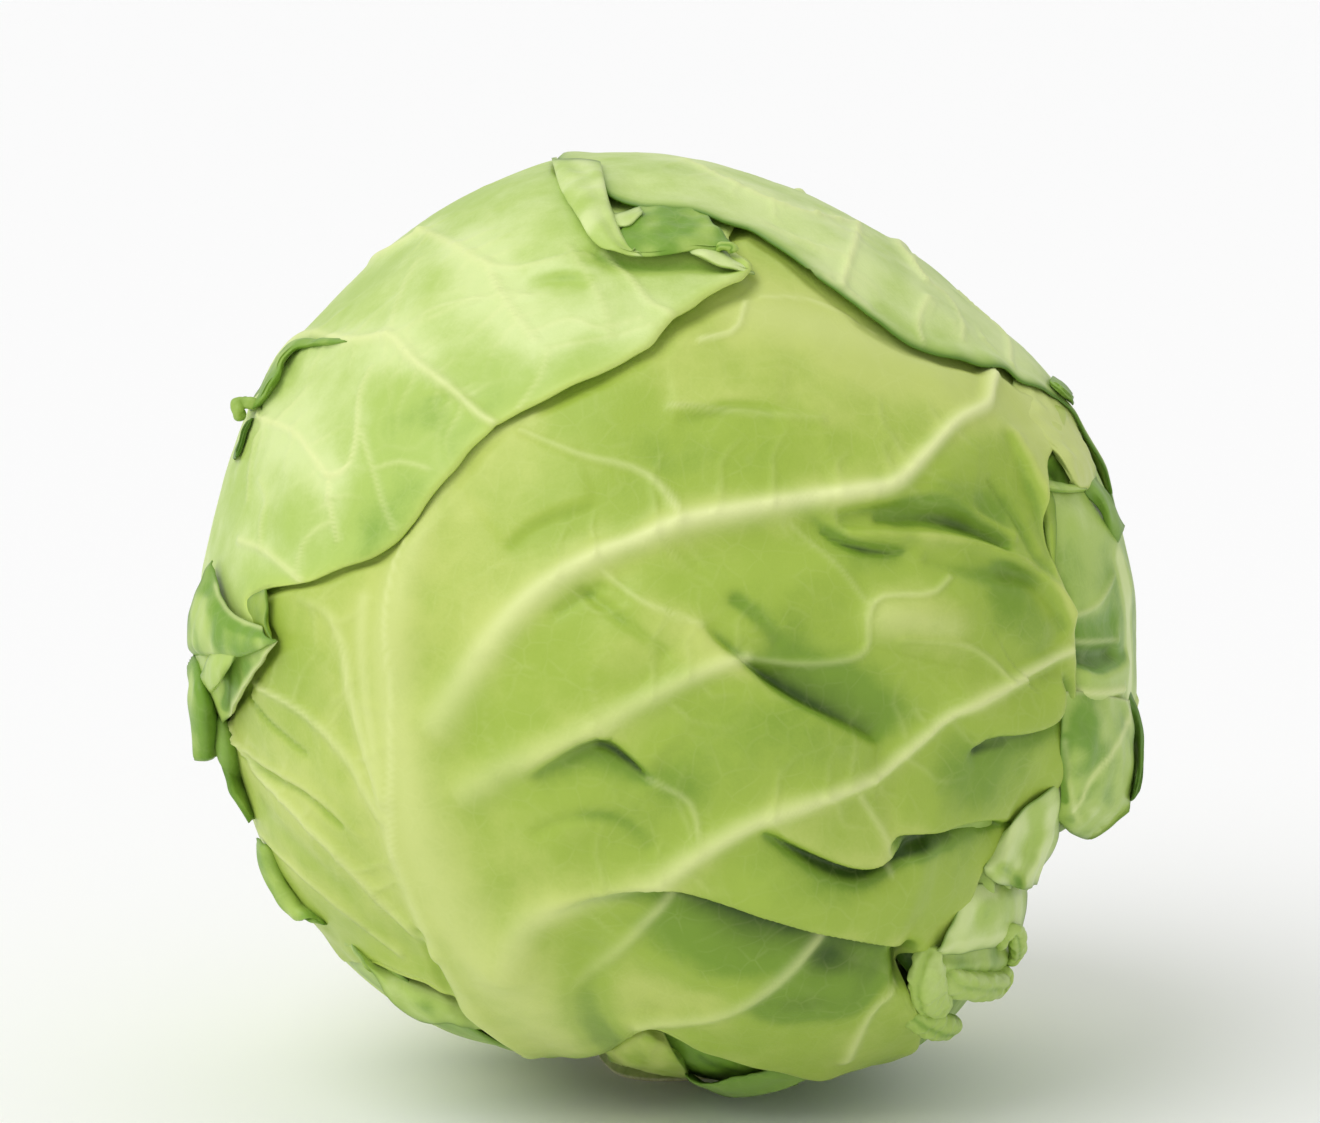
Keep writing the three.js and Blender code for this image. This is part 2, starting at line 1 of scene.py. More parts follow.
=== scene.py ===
"""A round green cabbage head, as picked: loose outer leaves round a tight heart on a cut stem.

Every leaf is a closed sheet laid over the ones below it. Its outline is a curve round the leaf's own
pole on the head, and its veins, folds and swells are lines drawn on the head's surface.
Lengths are in millimetres until a mesh is written, which is in metres.
"""

import math

import bpy
import numpy as np
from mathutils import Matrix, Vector


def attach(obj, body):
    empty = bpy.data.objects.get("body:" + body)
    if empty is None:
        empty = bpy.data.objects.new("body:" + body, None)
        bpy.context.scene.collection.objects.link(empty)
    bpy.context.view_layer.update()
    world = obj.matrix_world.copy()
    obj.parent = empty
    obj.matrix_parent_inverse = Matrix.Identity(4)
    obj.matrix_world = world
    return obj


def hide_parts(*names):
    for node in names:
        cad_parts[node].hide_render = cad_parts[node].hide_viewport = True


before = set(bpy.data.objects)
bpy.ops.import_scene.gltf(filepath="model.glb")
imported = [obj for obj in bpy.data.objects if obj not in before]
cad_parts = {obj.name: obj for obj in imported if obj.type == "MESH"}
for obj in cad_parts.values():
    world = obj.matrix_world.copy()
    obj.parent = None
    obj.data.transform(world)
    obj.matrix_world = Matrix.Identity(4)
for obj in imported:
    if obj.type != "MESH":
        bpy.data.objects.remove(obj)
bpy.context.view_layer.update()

# ---------------------------------------------------------------- driving dimensions

MIDDLE = np.array([-2.0, -8.0, 92.0])  # the middle of the head
VIEW_TILT = math.radians(10)  # the front view looks this far down on the head
VIEW_DISTANCE = 900.0
HALF_DEPTH = 91.0  # half of the head's size from front to back
# The front view's outline: its radius every 15 degrees, anticlockwise from the right-hand side.
OUTLINE_RADII = np.array(
    [94, 92.5, 92, 89, 89.5, 91, 94, 95.5, 94, 92.5, 93.5, 92.5]
    + [92.5, 89.5, 91.5, 91.2, 91.2, 88.8, 90, 96, 98, 93, 87.8, 94.5]
)

LEAF_THICKNESS = 1.0
LEAF_PITCH = 1.6  # from the outer face of one leaf to that of the leaf lying on it
UNDERSIDE = 9.0  # how far above the table the head's underside is flattened
UNDERSIDE_ROUNDING = 2.0
LEAST_HEIGHT = 0.6  # no leaf's outer face comes nearer to the table
LEAST_INNER_HEIGHT = 0.1  # nor its inner face
LEAST_LOBE_HEIGHT = 0.4  # nor a rolled lobe
STEM_RADIUS = 16.0
STEM_HEIGHT = 13.0

RIGHT = np.array([1.0, 0.0, 0.0])
VIEW_UP = np.array([0.0, math.sin(VIEW_TILT), math.cos(VIEW_TILT)])
VIEW_AWAY = np.array([0.0, math.cos(VIEW_TILT), -math.sin(VIEW_TILT)])

# ---------------------------------------------------------------- camera

FRAME_WIDTH = 264.0  # what the picture takes in across the middle of the head
SENSOR = 36.0
FRAME_MIDDLE = (-1.0, 13.1)  # the picture's middle, right of and above the head's


def add_camera():
    """A long lens at the front view's distance, shifted so that the head sits low in the picture."""
    data = bpy.data.cameras.new("camera")
    data.sensor_width = SENSOR
    data.lens = SENSOR * VIEW_DISTANCE / FRAME_WIDTH
    data.shift_x = FRAME_MIDDLE[0] / FRAME_WIDTH
    data.shift_y = FRAME_MIDDLE[1] / FRAME_WIDTH
    data.clip_end = 20
    camera = bpy.data.objects.new("camera", data)
    camera.location = (MIDDLE - VIEW_DISTANCE * VIEW_AWAY) / 1000
    camera.rotation_euler = (math.pi / 2 - VIEW_TILT, 0, 0)
    bpy.context.scene.collection.objects.link(camera)
    bpy.context.scene.camera = camera


add_camera()

# ---------------------------------------------------------------- the head's surface


def smoothstep(value, low, high):
    share = np.clip((value - low) / (high - low), 0, 1)
    return share * share * (3 - 2 * share)


def unit(vectors):
    return vectors / np.linalg.norm(vectors, axis=-1, keepdims=True)


def closed_curve(values, place):
    """A closed Catmull-Rom curve through the values, at places counted in values."""
    count = len(values)
    i = np.floor(place).astype(int)
    t = place - i
    a, b, c, d = (values[(i + k) % count] for k in (-1, 0, 1, 2))
    return b + 0.5 * t * (c - a + t * (2 * a - 5 * b + 4 * c - d + t * (3 * (b - c) + d - a)))


def open_curve(points, count):
    """Even steps of a Catmull-Rom curve from the first of the points to the last."""
    points = np.asarray(points, float)
    held = np.vstack([2 * points[0] - points[1], points, 2 * points[-1] - points[-2]])
    place = np.linspace(0, len(points) - 1, count)
    i = np.minimum(np.floor(place).astype(int), len(points) - 2)
    t = (place - i)[:, None]
    a, b, c, d = (held[i + k] for k in range(4))
    return b + 0.5 * t * (c - a + t * (2 * a - 5 * b + 4 * c - d + t * (3 * (b - c) + d - a)))


def outline_radius(angle):
    return closed_curve(OUTLINE_RADII, np.mod(angle / math.radians(15), len(OUTLINE_RADII)))


def in_view(points):
    """Places from the middle of the head, of points that the front view shows at x to its right and
    z above it. A third number is the height over the head's surface. With s the share of the outline's
    radius and a the depth, (s (1 + a / distance))^2 + (a / half depth)^2 = 1 is solved for a."""
    points = np.asarray(points, float)
    x, z = points[:, 0], points[:, 1]
    height = points[:, 2] if points.shape[1] > 2 else 0.0
    angle = np.arctan2(z, x)
    limit = outline_radius(angle) + height
    share = np.minimum(np.hypot(x, z) / limit, 1.003)
    depth = HALF_DEPTH + height
    square = share**2 / VIEW_DISTANCE**2 + 1 / depth**2
    single = share**2 / VIEW_DISTANCE
    away = (-single - np.sqrt(np.maximum(single**2 - square * (share**2 - 1), 0))) / square
    reach = share * limit * (1 + away / VIEW_DISTANCE)
    flat = (reach * np.cos(angle))[:, None] * RIGHT + (reach * np.sin(angle))[:, None] * VIEW_UP
    return flat + away[:, None] * VIEW_AWAY


def front(points):
    """Directions from the middle to what the front view shows at x to its right and z above it."""
    return unit(in_view(np.asarray(points, float)[:, :2]))


def around(points):
    """Directions by angle round the head (0 front, 90 right, 180 back) and above its middle."""
    azimuth, elevation = np.radians(np.asarray(points, float)).T[:2]
    level = np.cos(elevation)
    return np.stack([np.sin(azimuth) * level, -np.cos(azimuth) * level, np.sin(elevation)], -1)


def hollow_rise(dirs):
    """How much higher the underside is in the hollow that runs from the stem to the front."""
    down = np.minimum(dirs[:, 2], -0.2)
    foot = MIDDLE[:2] - dirs[:, :2] * (MIDDLE[2] / down)[:, None]
    across = np.exp(-(((foot[:, 0] + 5) / 13) ** 2))
    return np.where(dirs[:, 2] < -0.2, 15 * across * smoothstep(-foot[:, 1], 8, 46), 0)


def head_radius(dirs, lift=0.0, floor=UNDERSIDE):
    """An ellipsoid with the outline's radii in the front view, flattened softly underneath."""
    across = dirs @ RIGHT
    up = dirs @ VIEW_UP
    share = np.hypot(across, up) / outline_radius(np.arctan2(up, across))
    radius = 1 / np.hypot(share, dirs @ VIEW_AWAY / HALF_DEPTH) + lift
    lowest = floor + hollow_rise(dirs)
    height = (MIDDLE[2] + radius * dirs[:, 2] - lowest) / UNDERSIDE_ROUNDING
    kept = UNDERSIDE_ROUNDING * np.logaddexp(0, height) + lowest
    down = np.minimum(dirs[:, 2], -0.2)
    return np.where((dirs[:, 2] < -0.2) & (height < 6), (kept - MIDDLE[2]) / down, radius)


def soft_noise(points, size, seed):
    """Smooth noise of about -1 to 1: a sum of waves that run in random directions."""
    draw = np.random.default_rng(seed)
    waves = unit(draw.normal(size=(14, 3))) * draw.uniform(0.7, 1.6, (14, 1)) * (2 * math.pi / size)
    return np.sin(points @ waves.T + draw.uniform(0, 2 * math.pi, 14)).sum(1) / math.sqrt(28)


# ---------------------------------------------------------------- lines drawn on a leaf


VEIN_HALO = 4.5  # how far the leaf is paler beside a vein
HALO_TONE = 0.17  # how much paler it is there
LINE_WIDTH = 0.8  # a vein's pale line, as a share of its raised width
# A side vein's course, as shares of its reach: away from the vein it leaves, and along that vein.
SIDE_VEIN_STEPS = ((0, 0), (0.35, 0.3), (0.7, 0.45), (1, 1.1))
LIP_STEP = 1.9  # half of the width over which a fold's lip turns down


def along(values, share):
    """A value at a share of the way along a path, from one number or from several at even steps."""
    values = np.atleast_1d(np.asarray(values, float))
    return np.interp(share, np.linspace(0, 1, len(values)), values)


class Relief:
    """What the lines drawn on a leaf do to its points: how far out and aside they go, and their
    colour. A path is places in the front view, or directions."""

    def __init__(self, dirs, tone):
        self.points = dirs * HALF_DEPTH
        self.out = np.zeros(len(dirs))
        self.aside = np.zeros((len(dirs), 3))
        self.vein = np.zeros(len(dirs))
        self.tone = np.full(len(dirs), tone)

    def beside(self, path, reach):
        """The points within reach of a path: which ones, how far off and how far along they are,
        how far to its left (negative on its right), and which way that left is."""
        path = np.asarray(path, float)
        dirs = path if path.shape[1] == 3 else front(path)
        length = np.linalg.norm(np.diff(dirs, axis=0), axis=1).sum() * HALF_DEPTH
        path = unit(open_curve(dirs, max(4, int(length / 2.5)))) * HALF_DEPTH
        middle = path.mean(0)
        span = np.linalg.norm(path - middle, axis=1).max() + reach
        near = np.flatnonzero(np.linalg.norm(self.points - middle, axis=1) < span)
        at = self.points[near]
        best = np.full(len(near), np.inf)
        share = np.zeros(len(near))
        side = np.zeros(len(near))
        left = np.zeros((len(near), 3))
        for i in range(len(path) - 1):
            run = path[i + 1] - path[i]
            off = at - path[i]
            t = np.clip(off @ run / (run @ run), 0, 1)
            gap = off - t[:, None] * run
            away = np.einsum("ij,ij->i", gap, gap)
            closer = away < best
            best[closer] = away[closer]
            share[closer] = (i + t[closer]) / (len(path) - 1)
            lefts = unit(np.cross(unit(at[closer]), run))
            left[closer] = lefts
            side[closer] = np.einsum("ij,ij->i", lefts, gap[closer])
        kept = best < reach**2
        return near[kept], np.sqrt(best[kept]), share[kept], side[kept], left[kept]

    def draw_vein(self, path, width, height, pale=1.0):
        """A raised pale line: height times exp(-(distance/width)^2)."""
        near, off, share, _, _ = self.beside(path, 3 * np.max(width) + 1)
        bell = np.exp(-((off / along(width, share)) ** 2))
        self.out[near] += along(height, share) * bell
        line = np.exp(-((off / (LINE_WIDTH * along(width, share))) ** 2))
        self.vein[near] = np.maximum(self.vein[near], along(pale, share) * line)
        near, off, share, _, _ = self.beside(path, VEIN_HALO * 3)
        self.tone[near] -= HALO_TONE * along(pale, share) * np.exp(-((off / VEIN_HALO) ** 2))

    def draw_side_veins(
        self, path, spacing, reach, seed, pale=0.3, width=(0.75, 0.5), height=(0.35, 0.1)
    ):
        """Fine veins that leave a vein at a slant on both sides, one every spacing or so. Wide ones
        carry fine ones of their own."""
        path = np.asarray(path, float)
        line = unit(open_curve(path if path.shape[1] == 3 else front(path), 200)) * HALF_DEPTH
        length = np.linalg.norm(np.diff(line, axis=0), axis=1).sum()
        draw = np.random.default_rng(seed)
        for at in np.arange(0.06, 0.97, spacing / length):
            for side in (-1, 1):
                k = int(np.clip(at + draw.uniform(-0.4, 0.4) * spacing / length, 0, 0.98) * 198)
                run = unit(line[k + 1] - line[k])
                left = np.cross(unit(line[k]), run) * side
                far = reach * draw.uniform(0.5, 1.2)
                slant = draw.uniform(0.3, 0.8)
                bend = draw.uniform(-0.12, 0.12, len(SIDE_VEIN_STEPS))
                points = [
                    line[k] + far * ((aside + bend[i] * aside) * left + slant * ahead * run)
                    for i, (aside, ahead) in enumerate(SIDE_VEIN_STEPS)
                ]
                points = unit(np.array(points))
                wide = width[0] > 1
                self.draw_vein(points, width, height, (pale, pale * 0.6 if wide else 0.05))
                if wide:
                    self.draw_side_veins(points, 10, 15, seed + k, pale * 0.7, (0.9, 0.6), (0.5, 0.2))

    def draw_swell(self, path, width, height, tone=0.0):
        """A soft ridge, or a trough if its height is negative, with a change of tone, which is painted
        shade where it darkens a trough or crease.
        """
        near, off, share, _, _ = self.beside(path, 3 * np.max(width))
        bell = np.exp(-((off / along(width, share)) ** 2))
        self.out[near] += along(height, share) * bell
        self.tone[near] += along(tone, share) * bell

    def draw_fold(self, path, height, reach=12.0, dip=0.8, over=0.8):
        """A lip: the leaf stands up on the left of the path by height times exp(-distance/reach),
        leans over it, and dips just beyond it. It rises from nothing at the path's ends."""
        near, off, share, side, left = self.beside(path, 3 * reach)
        ends = smoothstep(share, 0, 0.12) * smoothstep(share, 1, 0.88)
        height = along(height, share) * ends
        side = side - height * over
        off = np.hypot(np.sqrt(np.maximum(off**2 - (side + height * over) ** 2, 0)), side)
        up = smoothstep(side, -LIP_STEP, LIP_STEP)
        dipped = (1 - up) * dip * np.exp(-((off / 4) ** 2))
        self.out[near] += height * (up * np.exp(-off / reach) - dipped)
        self.aside[near] -= (height * over * up * np.exp(-off / 5))[:, None] * left
        # Painted shade on the low side below the lip, and a painted highlight that makes the raised side
        # paler.
        strength = np.minimum(height, 2.5)
        seen = np.maximum(off - height * over, 0)
        self.tone[near] += strength * (1 - up) * (0.35 * np.exp(-seen / 1.4) + 0.2 * np.exp(-off / 6))
        self.tone[near] -= 0.14 * strength * up * np.exp(-off / 3)


# ---------------------------------------------------------------- meshes


def write_mesh(name, points, faces, values, material, replaced=()):
    """A piece of the head from its points in millimetres, its faces and its values at each point."""
    mesh = bpy.data.meshes.new(name)
    mesh.from_pydata((points / 1000).tolist(), [], faces.tolist())
    mesh.polygons.foreach_set("use_smooth", np.ones(len(faces), bool))
    for label, numbers in values.items():
        attribute = mesh.attributes.new(label, "FLOAT", "POINT")
        attribute.data.foreach_set("value", np.asarray(numbers, np.float32))
    mesh.materials.append(material)
    piece = bpy.data.objects.new(name, mesh)
    bpy.context.scene.collection.objects.link(piece)
    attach(piece, "root")
    if replaced:
        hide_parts(*replaced)
    return piece


def grid_faces(rows, columns, start=0):
    """Two triangles for each cell of a grid of points that starts at a given point. The cells are
    cut by the diagonal that points to the middle of the grid."""
    at = start + np.arange(rows * columns).reshape(rows, columns)
    a, b, c, d = at[:-1, :-1], at[:-1, 1:], at[1:, 1:], at[1:, :-1]
    row, column = np.mgrid[: rows - 1, : columns - 1]
    turned = (row < (rows - 1) / 2) != (column < (columns - 1) / 2)
    halves = [
        [np.where(turned, b, a), np.where(turned, c, b), np.where(turned, d, c)],
        [a, np.where(turned, b, c), d],
    ]
    return np.concatenate([np.stack(half, -1).reshape(-1, 3) for half in halves])


def rim_of(rows, columns):
    """The points round the outside of a grid, anticlockwise."""
    at = np.arange(rows * columns).reshape(rows, columns)
    return np.concatenate([at[0, :-1], at[:-1, -1], at[-1, :0:-1], at[:0:-1, 0]])


def closed_sheet(outer, inner):
    """The points and faces of a sheet with an outer grid and an inner one of half as many cells or
    as many, joined round the rim."""
    rows, columns = outer.shape[:2]
    below = rows * columns
    step = (rows - 1) // (inner.shape[0] - 1)
    faces = [grid_faces(rows, columns), grid_faces(*inner.shape[:2], below)[:, ::-1]]
    top = rim_of(rows, columns)
    low = below + rim_of(*inner.shape[:2])
    low_next = np.roll(low, -1)
    corners = [np.roll(top, -k)[::step] for k in range(step + 1)]
    for k in range(step):
        faces.append(np.stack([corners[k], low, corners[k + 1]], -1))
    faces.append(np.stack([corners[step], low, low_next], -1))
    points = np.concatenate([outer.reshape(-1, 3), inner.reshape(-1, 3)])
    return points, np.concatenate(faces)


def faces_out(points, faces):
    """The faces, turned over if the solid they close is inside out."""
    a, b, c = (points[faces[:, k]] for k in range(3))
    volume = np.einsum("ij,ij->", a, np.cross(b, c))
    return faces if volume > 0 else faces[:, ::-1]


# ---------------------------------------------------------------- leaves

AT_ONCE = 8192  # how many points are measured against all others in one step
EDGE_SAMPLES = 2880
EDGE_ROUNDING = 5  # in samples
SPREAD_ROUNDING = 90  # how far the pull of a notch in the edge is spread over the cells inside it
FRILL_COUNTS = (23, 37, 61, 97)  # waves of the edge in one turn round the leaf
FRILL_HEIGHT = 5.5


def blurred(values, width):
    """A closed row of values, smoothed by a bell curve of a width counted in values."""
    waves = np.fft.fftfreq(len(values))
    return np.fft.ifft(np.fft.fft(values) * np.exp(-2 * (math.pi * waves * width) ** 2)).real


class Leaf:
    """A leaf of the head: a closed edge round a pole, and what its surface does inside that edge."""

    def __init__(self, name, pole, edge, cells, rise, slot, lines=None, **more):
        self.name = name
        self.pole = unit(np.asarray(pole, float).reshape(3))
        self.cells = cells
        self.rise = rise
        self.slot = slot
        self.lines = lines
        self.lift = more.get("lift", 0.0)
        self.floor = more.get("floor", UNDERSIDE)
        self.tone = more.get("tone", 0.5)
        self.net = more.get("net", 0.8)
        # Rim colour: above 0 it is painted shade along the edge, below 0 a painted pale glow of light
        # through it.
        self.rim_shade_and_glow = more.get("rim_shade_and_glow", 0.8)
        self.wave = more.get("wave", 0.8)
        self.seed = more.get("seed", len(name))
        side = np.array([0.0, 0, 1]) if abs(self.pole[2]) < 0.9 else np.array([1.0, 0, 0])
        self.first = unit(np.cross(side, self.pole))
        self.second = np.cross(self.pole, self.first)
        bearing, arc = self.place(np.concatenate(edge))
        turns = np.arange(EDGE_SAMPLES) * 2 * math.pi / EDGE_SAMPLES
        order = np.argsort(bearing)
        arcs = np.interp(turns, bearing[order], arc[order], period=2 * math.pi)
        self.slow_arcs = blurred(arcs, SPREAD_ROUNDING)
        self.arcs = blurred(arcs, EDGE_ROUNDING)
        draw = np.random.default_rng(self.seed)
        for count in FRILL_COUNTS:
            frill = np.sin(count * turns + draw.uniform(0, 2 * math.pi))
            self.arcs += FRILL_HEIGHT / count**1.05 * self.wave / HALF_DEPTH * frill
        self.rim = self.toward(turns[::2], self.arcs[::2]) * HALF_DEPTH

    def place(self, dirs):
        """Bearings round the pole and arcs from it."""
        bearing = np.arctan2(dirs @ self.second, dirs @ self.first)
        return np.mod(bearing, 2 * math.pi), np.arccos(np.clip(dirs @ self.pole, -1, 1))

    def toward(self, bearing, arc):
        """The directions at bearings round the pole and arcs from it."""
        level = np.cos(bearing)[:, None] * self.first + np.sin(bearing)[:, None] * self.second
        return np.cos(arc)[:, None] * self.pole + np.sin(arc)[:, None] * level

    def edge_arc(self, bearing, arcs=None):
        arcs = self.arcs if arcs is None else arcs
        place = bearing / (2 * math.pi) * EDGE_SAMPLES
        i = np.floor(place).astype(int)
        t = place - i
        return arcs[i % EDGE_SAMPLES] * (1 - t) + arcs[(i + 1) % EDGE_SAMPLES] * t

    def off_edge(self, dirs):
        """How far directions are from the nearest point of the edge."""
        points = dirs * HALF_DEPTH
        off = np.empty(len(dirs))
        for start in range(0, len(dirs), AT_ONCE):
            part = slice(start, start + AT_ONCE)
            near = (points[part] @ self.rim.T).max(1)
            off[part] = np.sqrt(np.maximum(2 * HALF_DEPTH**2 - 2 * near, 0))
        return off

    def inside(self, dirs):
        """How far directions are inside the edge, along the head's surface; negative outside."""
        bearing, arc = self.place(dirs)
        return (self.edge_arc(bearing) - arc) * HALF_DEPTH

    def grid(self, cells):
        """Directions on a square grid whose sides become the edge: a cell's place in the square is a
        bearing and a share of the arc to the edge, so that the cells keep their share of the area."""
        a, b = np.meshgrid(np.linspace(-1, 1, cells + 1), np.linspace(-1, 1, cells + 1))
        wide = np.abs(a) > np.abs(b)
        flat_a = np.where(a == 0, 1, a)
        flat_b = np.where(b == 0, 1, b)
        across = math.pi / 4 * b / flat_a + np.where(a < 0, math.pi, 0)
        along_it = math.pi / 2 - math.pi / 4 * a / flat_b + np.where(b < 0, math.pi, 0)
        bearing = np.mod(np.where(wide, across, along_it), 2 * math.pi).ravel()
        share = np.maximum(np.abs(a), np.abs(b)).ravel()
        slow = self.edge_arc(bearing, self.slow_arcs)
        arc = slow * share + (self.edge_arc(bearing) - slow) * share**9
        dirs = self.toward(bearing, arc)
        off = self.off_edge(dirs)
        off[share > 1 - 1e-9] = 0
        return dirs, off


def covered(dirs, later, start, end):
    """How much later leaves cover directions, from 0 at start inside their edges to 1 at end."""
    cover = np.zeros(len(dirs))
    for leaf in later:
        cover = np.maximum(cover, smoothstep(leaf.inside(dirs), start, end))
    return cover


def leaf_radius(leaves, k, dirs):
    """How far out a leaf's outer face lies: on the head where it is the outermost, and a pitch lower
    for every leaf that lies over it."""
    leaf = leaves[k]
    sag = 1 - covered(dirs, leaves[k + 1 :], -18, -1.5) if leaf.lift else np.zeros(len(dirs))
    radius = head_radius(dirs, leaf.lift * sag, UNDERSIDE + (leaf.floor - UNDERSIDE) * sag)
    for over in leaves[k + 1 :]:
        radius = radius - LEAF_PITCH * smoothstep(over.inside(dirs), -4.5, 0.5)
    return radius


def even_directions(count, seed):
    """Directions spread evenly over a ball by the golden angle, each moved a little at random."""
    place = np.arange(count) + 0.5
    height = 1 - 2 * place / count
    turn = place * math.pi * (3 - math.sqrt(5))
    level = np.sqrt(1 - height**2)
    even = np.stack([np.cos(turn) * level, np.sin(turn) * level, height], -1)
    draw = np.random.default_rng(seed)
    return unit(even + draw.normal(size=even.shape) * 0.9 / math.sqrt(count))


def net_distance(dirs, spacing, seed):
    """How far directions are from the lines of a net, whose cells are what is nearest to each of
    many points about the spacing apart. The lines are bent by noise."""
    points = dirs * HALF_DEPTH
    bend = np.stack([soft_noise(points, spacing * 0.9, seed + k) for k in range(3)], -1)
    bent = points + bend * spacing * 0.16
    seeds = even_directions(int(4 * math.pi * HALF_DEPTH**2 / spacing**2), seed) * HALF_DEPTH
    distance = np.empty(len(points))
    for start in range(0, len(points), AT_ONCE):
        part = slice(start, start + AT_ONCE)
        away = np.sum(bent[part] ** 2, 1)[:, None] - 2 * bent[part] @ seeds.T + HALF_DEPTH**2
        nearest = np.argpartition(away, 1, axis=1)[:, :2]
        pair = np.take_along_axis(away, nearest, 1)
        apart = np.linalg.norm(seeds[nearest[:, 0]] - seeds[nearest[:, 1]], axis=1)
        distance[part] = np.abs(pair[:, 1] - pair[:, 0]) / (2 * apart)
    return distance


NET_SPACING = 16.0
NET_LINE = 0.7
NET_HEIGHT = 0.22
PUFF_HEIGHT = 0.55
RIM_WIDTH = 1.1  # how far in from the edge its colour reaches
EDGE_LIFT_WIDTH = 7  # how far in from the edge a leaf begins to stand off the one below
UNDER_SHARE = 0.4  # how much of the veins and the net shows on a leaf's inner face


def add_leaf(leaves, k, materials):
    """A leaf as a closed sheet: its outer face is the head's surface, less a pitch for each leaf over
    it, plus its lines, its net, soft puffs and a raised wavy edge. The inner face lies under it."""
    leaf = leaves[k]
    dirs, edge_off = leaf.grid(leaf.cells)
    radius = leaf_radius(leaves, k, dirs)
    shown = 1 - covered(dirs, leaves[k + 1 :], 0.0, 5.0)
    relief = Relief(dirs, leaf.tone)
    if leaf.lines:
        leaf.lines(relief)
    points = dirs * HALF_DEPTH
    open_net = 1 - np.minimum(relief.vein, 1)  # the net ends where a vein is drawn
    net = np.exp(-((net_distance(dirs, NET_SPACING, leaf.seed) / NET_LINE) ** 2)) * open_net * leaf.net
    net *= smoothstep(soft_noise(points, 34, leaf.seed + 70), -0.9, 0.7)
    puff = soft_noise(points, 30, leaf.seed + 40) * 0.5 + soft_noise(points, 12, leaf.seed + 50) * 0.16
    # Rim colour: positive values darken the edge, the margin's deeper green with painted shade of the
    # rolled edge; negative values paint a pale glow of light through the thin edge.
    rim = leaf.rim_shade_and_glow * np.exp(-edge_off / RIM_WIDTH)
    frill = 1 + 0.6 * soft_noise(points, 16, leaf.seed + 60)
    raised = relief.out + NET_HEIGHT * net + PUFF_HEIGHT * puff * (1 - 0.5 * relief.vein)
    raised += leaf.rise * frill * smoothstep(edge_off, EDGE_LIFT_WIDTH, 0)
    radius = radius + raised * shown - 0.25 * smoothstep(edge_off, 0.9, 0)
    outer = MIDDLE + dirs * radius[:, None] + relief.aside * shown[:, None]
    outer[:, 2] = np.maximum(outer[:, 2], LEAST_HEIGHT)
    size = leaf.cells + 1
    thick = LEAF_THICKNESS * (0.4 + 0.6 * smoothstep(edge_off, 0, 1.5))
    inner = outer - dirs * thick[:, None]
    inner[:, 2] = np.maximum(inner[:, 2], LEAST_INNER_HEIGHT)
    outer, inner = outer.reshape(size, size, 3), inner.reshape(size, size, 3)[::2, ::2]
    grown, faces = closed_sheet(outer, inner)
    values = {"vein": relief.vein, "net": net, "tone": relief.tone, "rim": rim}
    for label, v in values.items():
        kept = UNDER_SHARE if label in ("vein", "net") else 1.0
        values[label] = np.concatenate([v, kept * v.reshape(size, size)[::2, ::2].ravel()])
    faces = faces_out(grown, faces)
    name, slot = leaf.name + "_fine", leaf.slot
    write_mesh(name, grown, faces, values, materials[slot], [leaf.name])


# ---------------------------------------------------------------- flaps and rolled lobes


FLAP_NET_SPACING = 8
FLAP_NET_LINE = 0.5
FLAP_NET_SHARE = 0.12
LOBE_STEPS, LOBE_SIDES = 64, 44
CREASE_WIDTH = 0.3  # in radians round a lobe
CREASE_DEPTH = 0.2


def on_head(places):
    """Points at places, x and z in the front view and a height over the head's surface, and the
    directions to them from the middle."""
    from_middle = in_view(places)
    points = MIDDLE + from_middle
    points[:, 2] = np.maximum(points[:, 2], LEAST_HEIGHT)
    return points, unit(from_middle)


def add_flap(materials, name, slot, tone, rows, cells=(36, 60), thick=0.9, seed=1, strokes=()):
    """A sheet of its own: a smooth curve runs through the places of each row, and smooth curves
    cross from row to row. Its thickness is taken off square to it, and thins out at the rim. The
    strokes are paths in the front view, each with a width, how pale a vein it is and its tone."""
    count, length = cells[0] // 2 * 2 + 1, cells[1] // 2 * 2 + 1
    lines = np.stack([open_curve(row, length) for row in rows])
    places = open_curve(lines.reshape(len(rows), -1), count).reshape(-1, 3)
    points, dirs = on_head(places)
    rough = 0.25 * soft_noise(points, 6, seed) + 0.2 * soft_noise(points, 14, seed + 1)
    points += dirs * rough[:, None]
    grid = points.reshape(count, length, 3)
    across = np.gradient(grid, axis=0)
    run = np.gradient(grid, axis=1)
    normal = unit(np.cross(run, across) + 1e-9)
    if np.einsum("ijk,ijk->", normal, dirs.reshape(grid.shape)) < 0:
        normal = -normal
    i, j = np.mgrid[:count, :length]
    cell = np.linalg.norm(across, axis=-1).mean(), np.linalg.norm(run, axis=-1).mean()
    off = np.minimum(np.minimum(i, count - 1 - i) * cell[0], np.minimum(j, length - 1 - j) * cell[1])
    inner = grid - normal * (thick * (0.35 + 0.65 * smoothstep(off, 0, 1.2)))[..., None]
    joined, faces = closed_sheet(grid, inner)
    # The rim darkens every flap's edge as painted shade.
    rim = np.exp(-off.ravel() / 0.7)
    net = np.exp(-((net_distance(dirs, FLAP_NET_SPACING, seed) / FLAP_NET_LINE) ** 2))
    shade = tone + 0.2 * soft_noise(points, 9, seed + 2)
    vein = net * 0
    # A positive stroke tone paints shade along a crease or valley, a negative one a paler, lit ridge.
    for path, width, pale, stroke_shade in strokes:
        line = open_curve(path, 40)
        away = np.linalg.norm(places[:, None, :2] - line, axis=2).min(1)
        bell = np.exp(-((away / width) ** 2))
        vein = np.maximum(vein, pale * bell)
        shade += stroke_shade * bell
    values = {"vein": vein, "net": FLAP_NET_SHARE * net, "tone": shade, "rim": rim}
    values = {label: np.tile(v, 2) for label, v in values.items()}
    write_mesh(name, joined, faces_out(joined, faces), values, materials[slot])


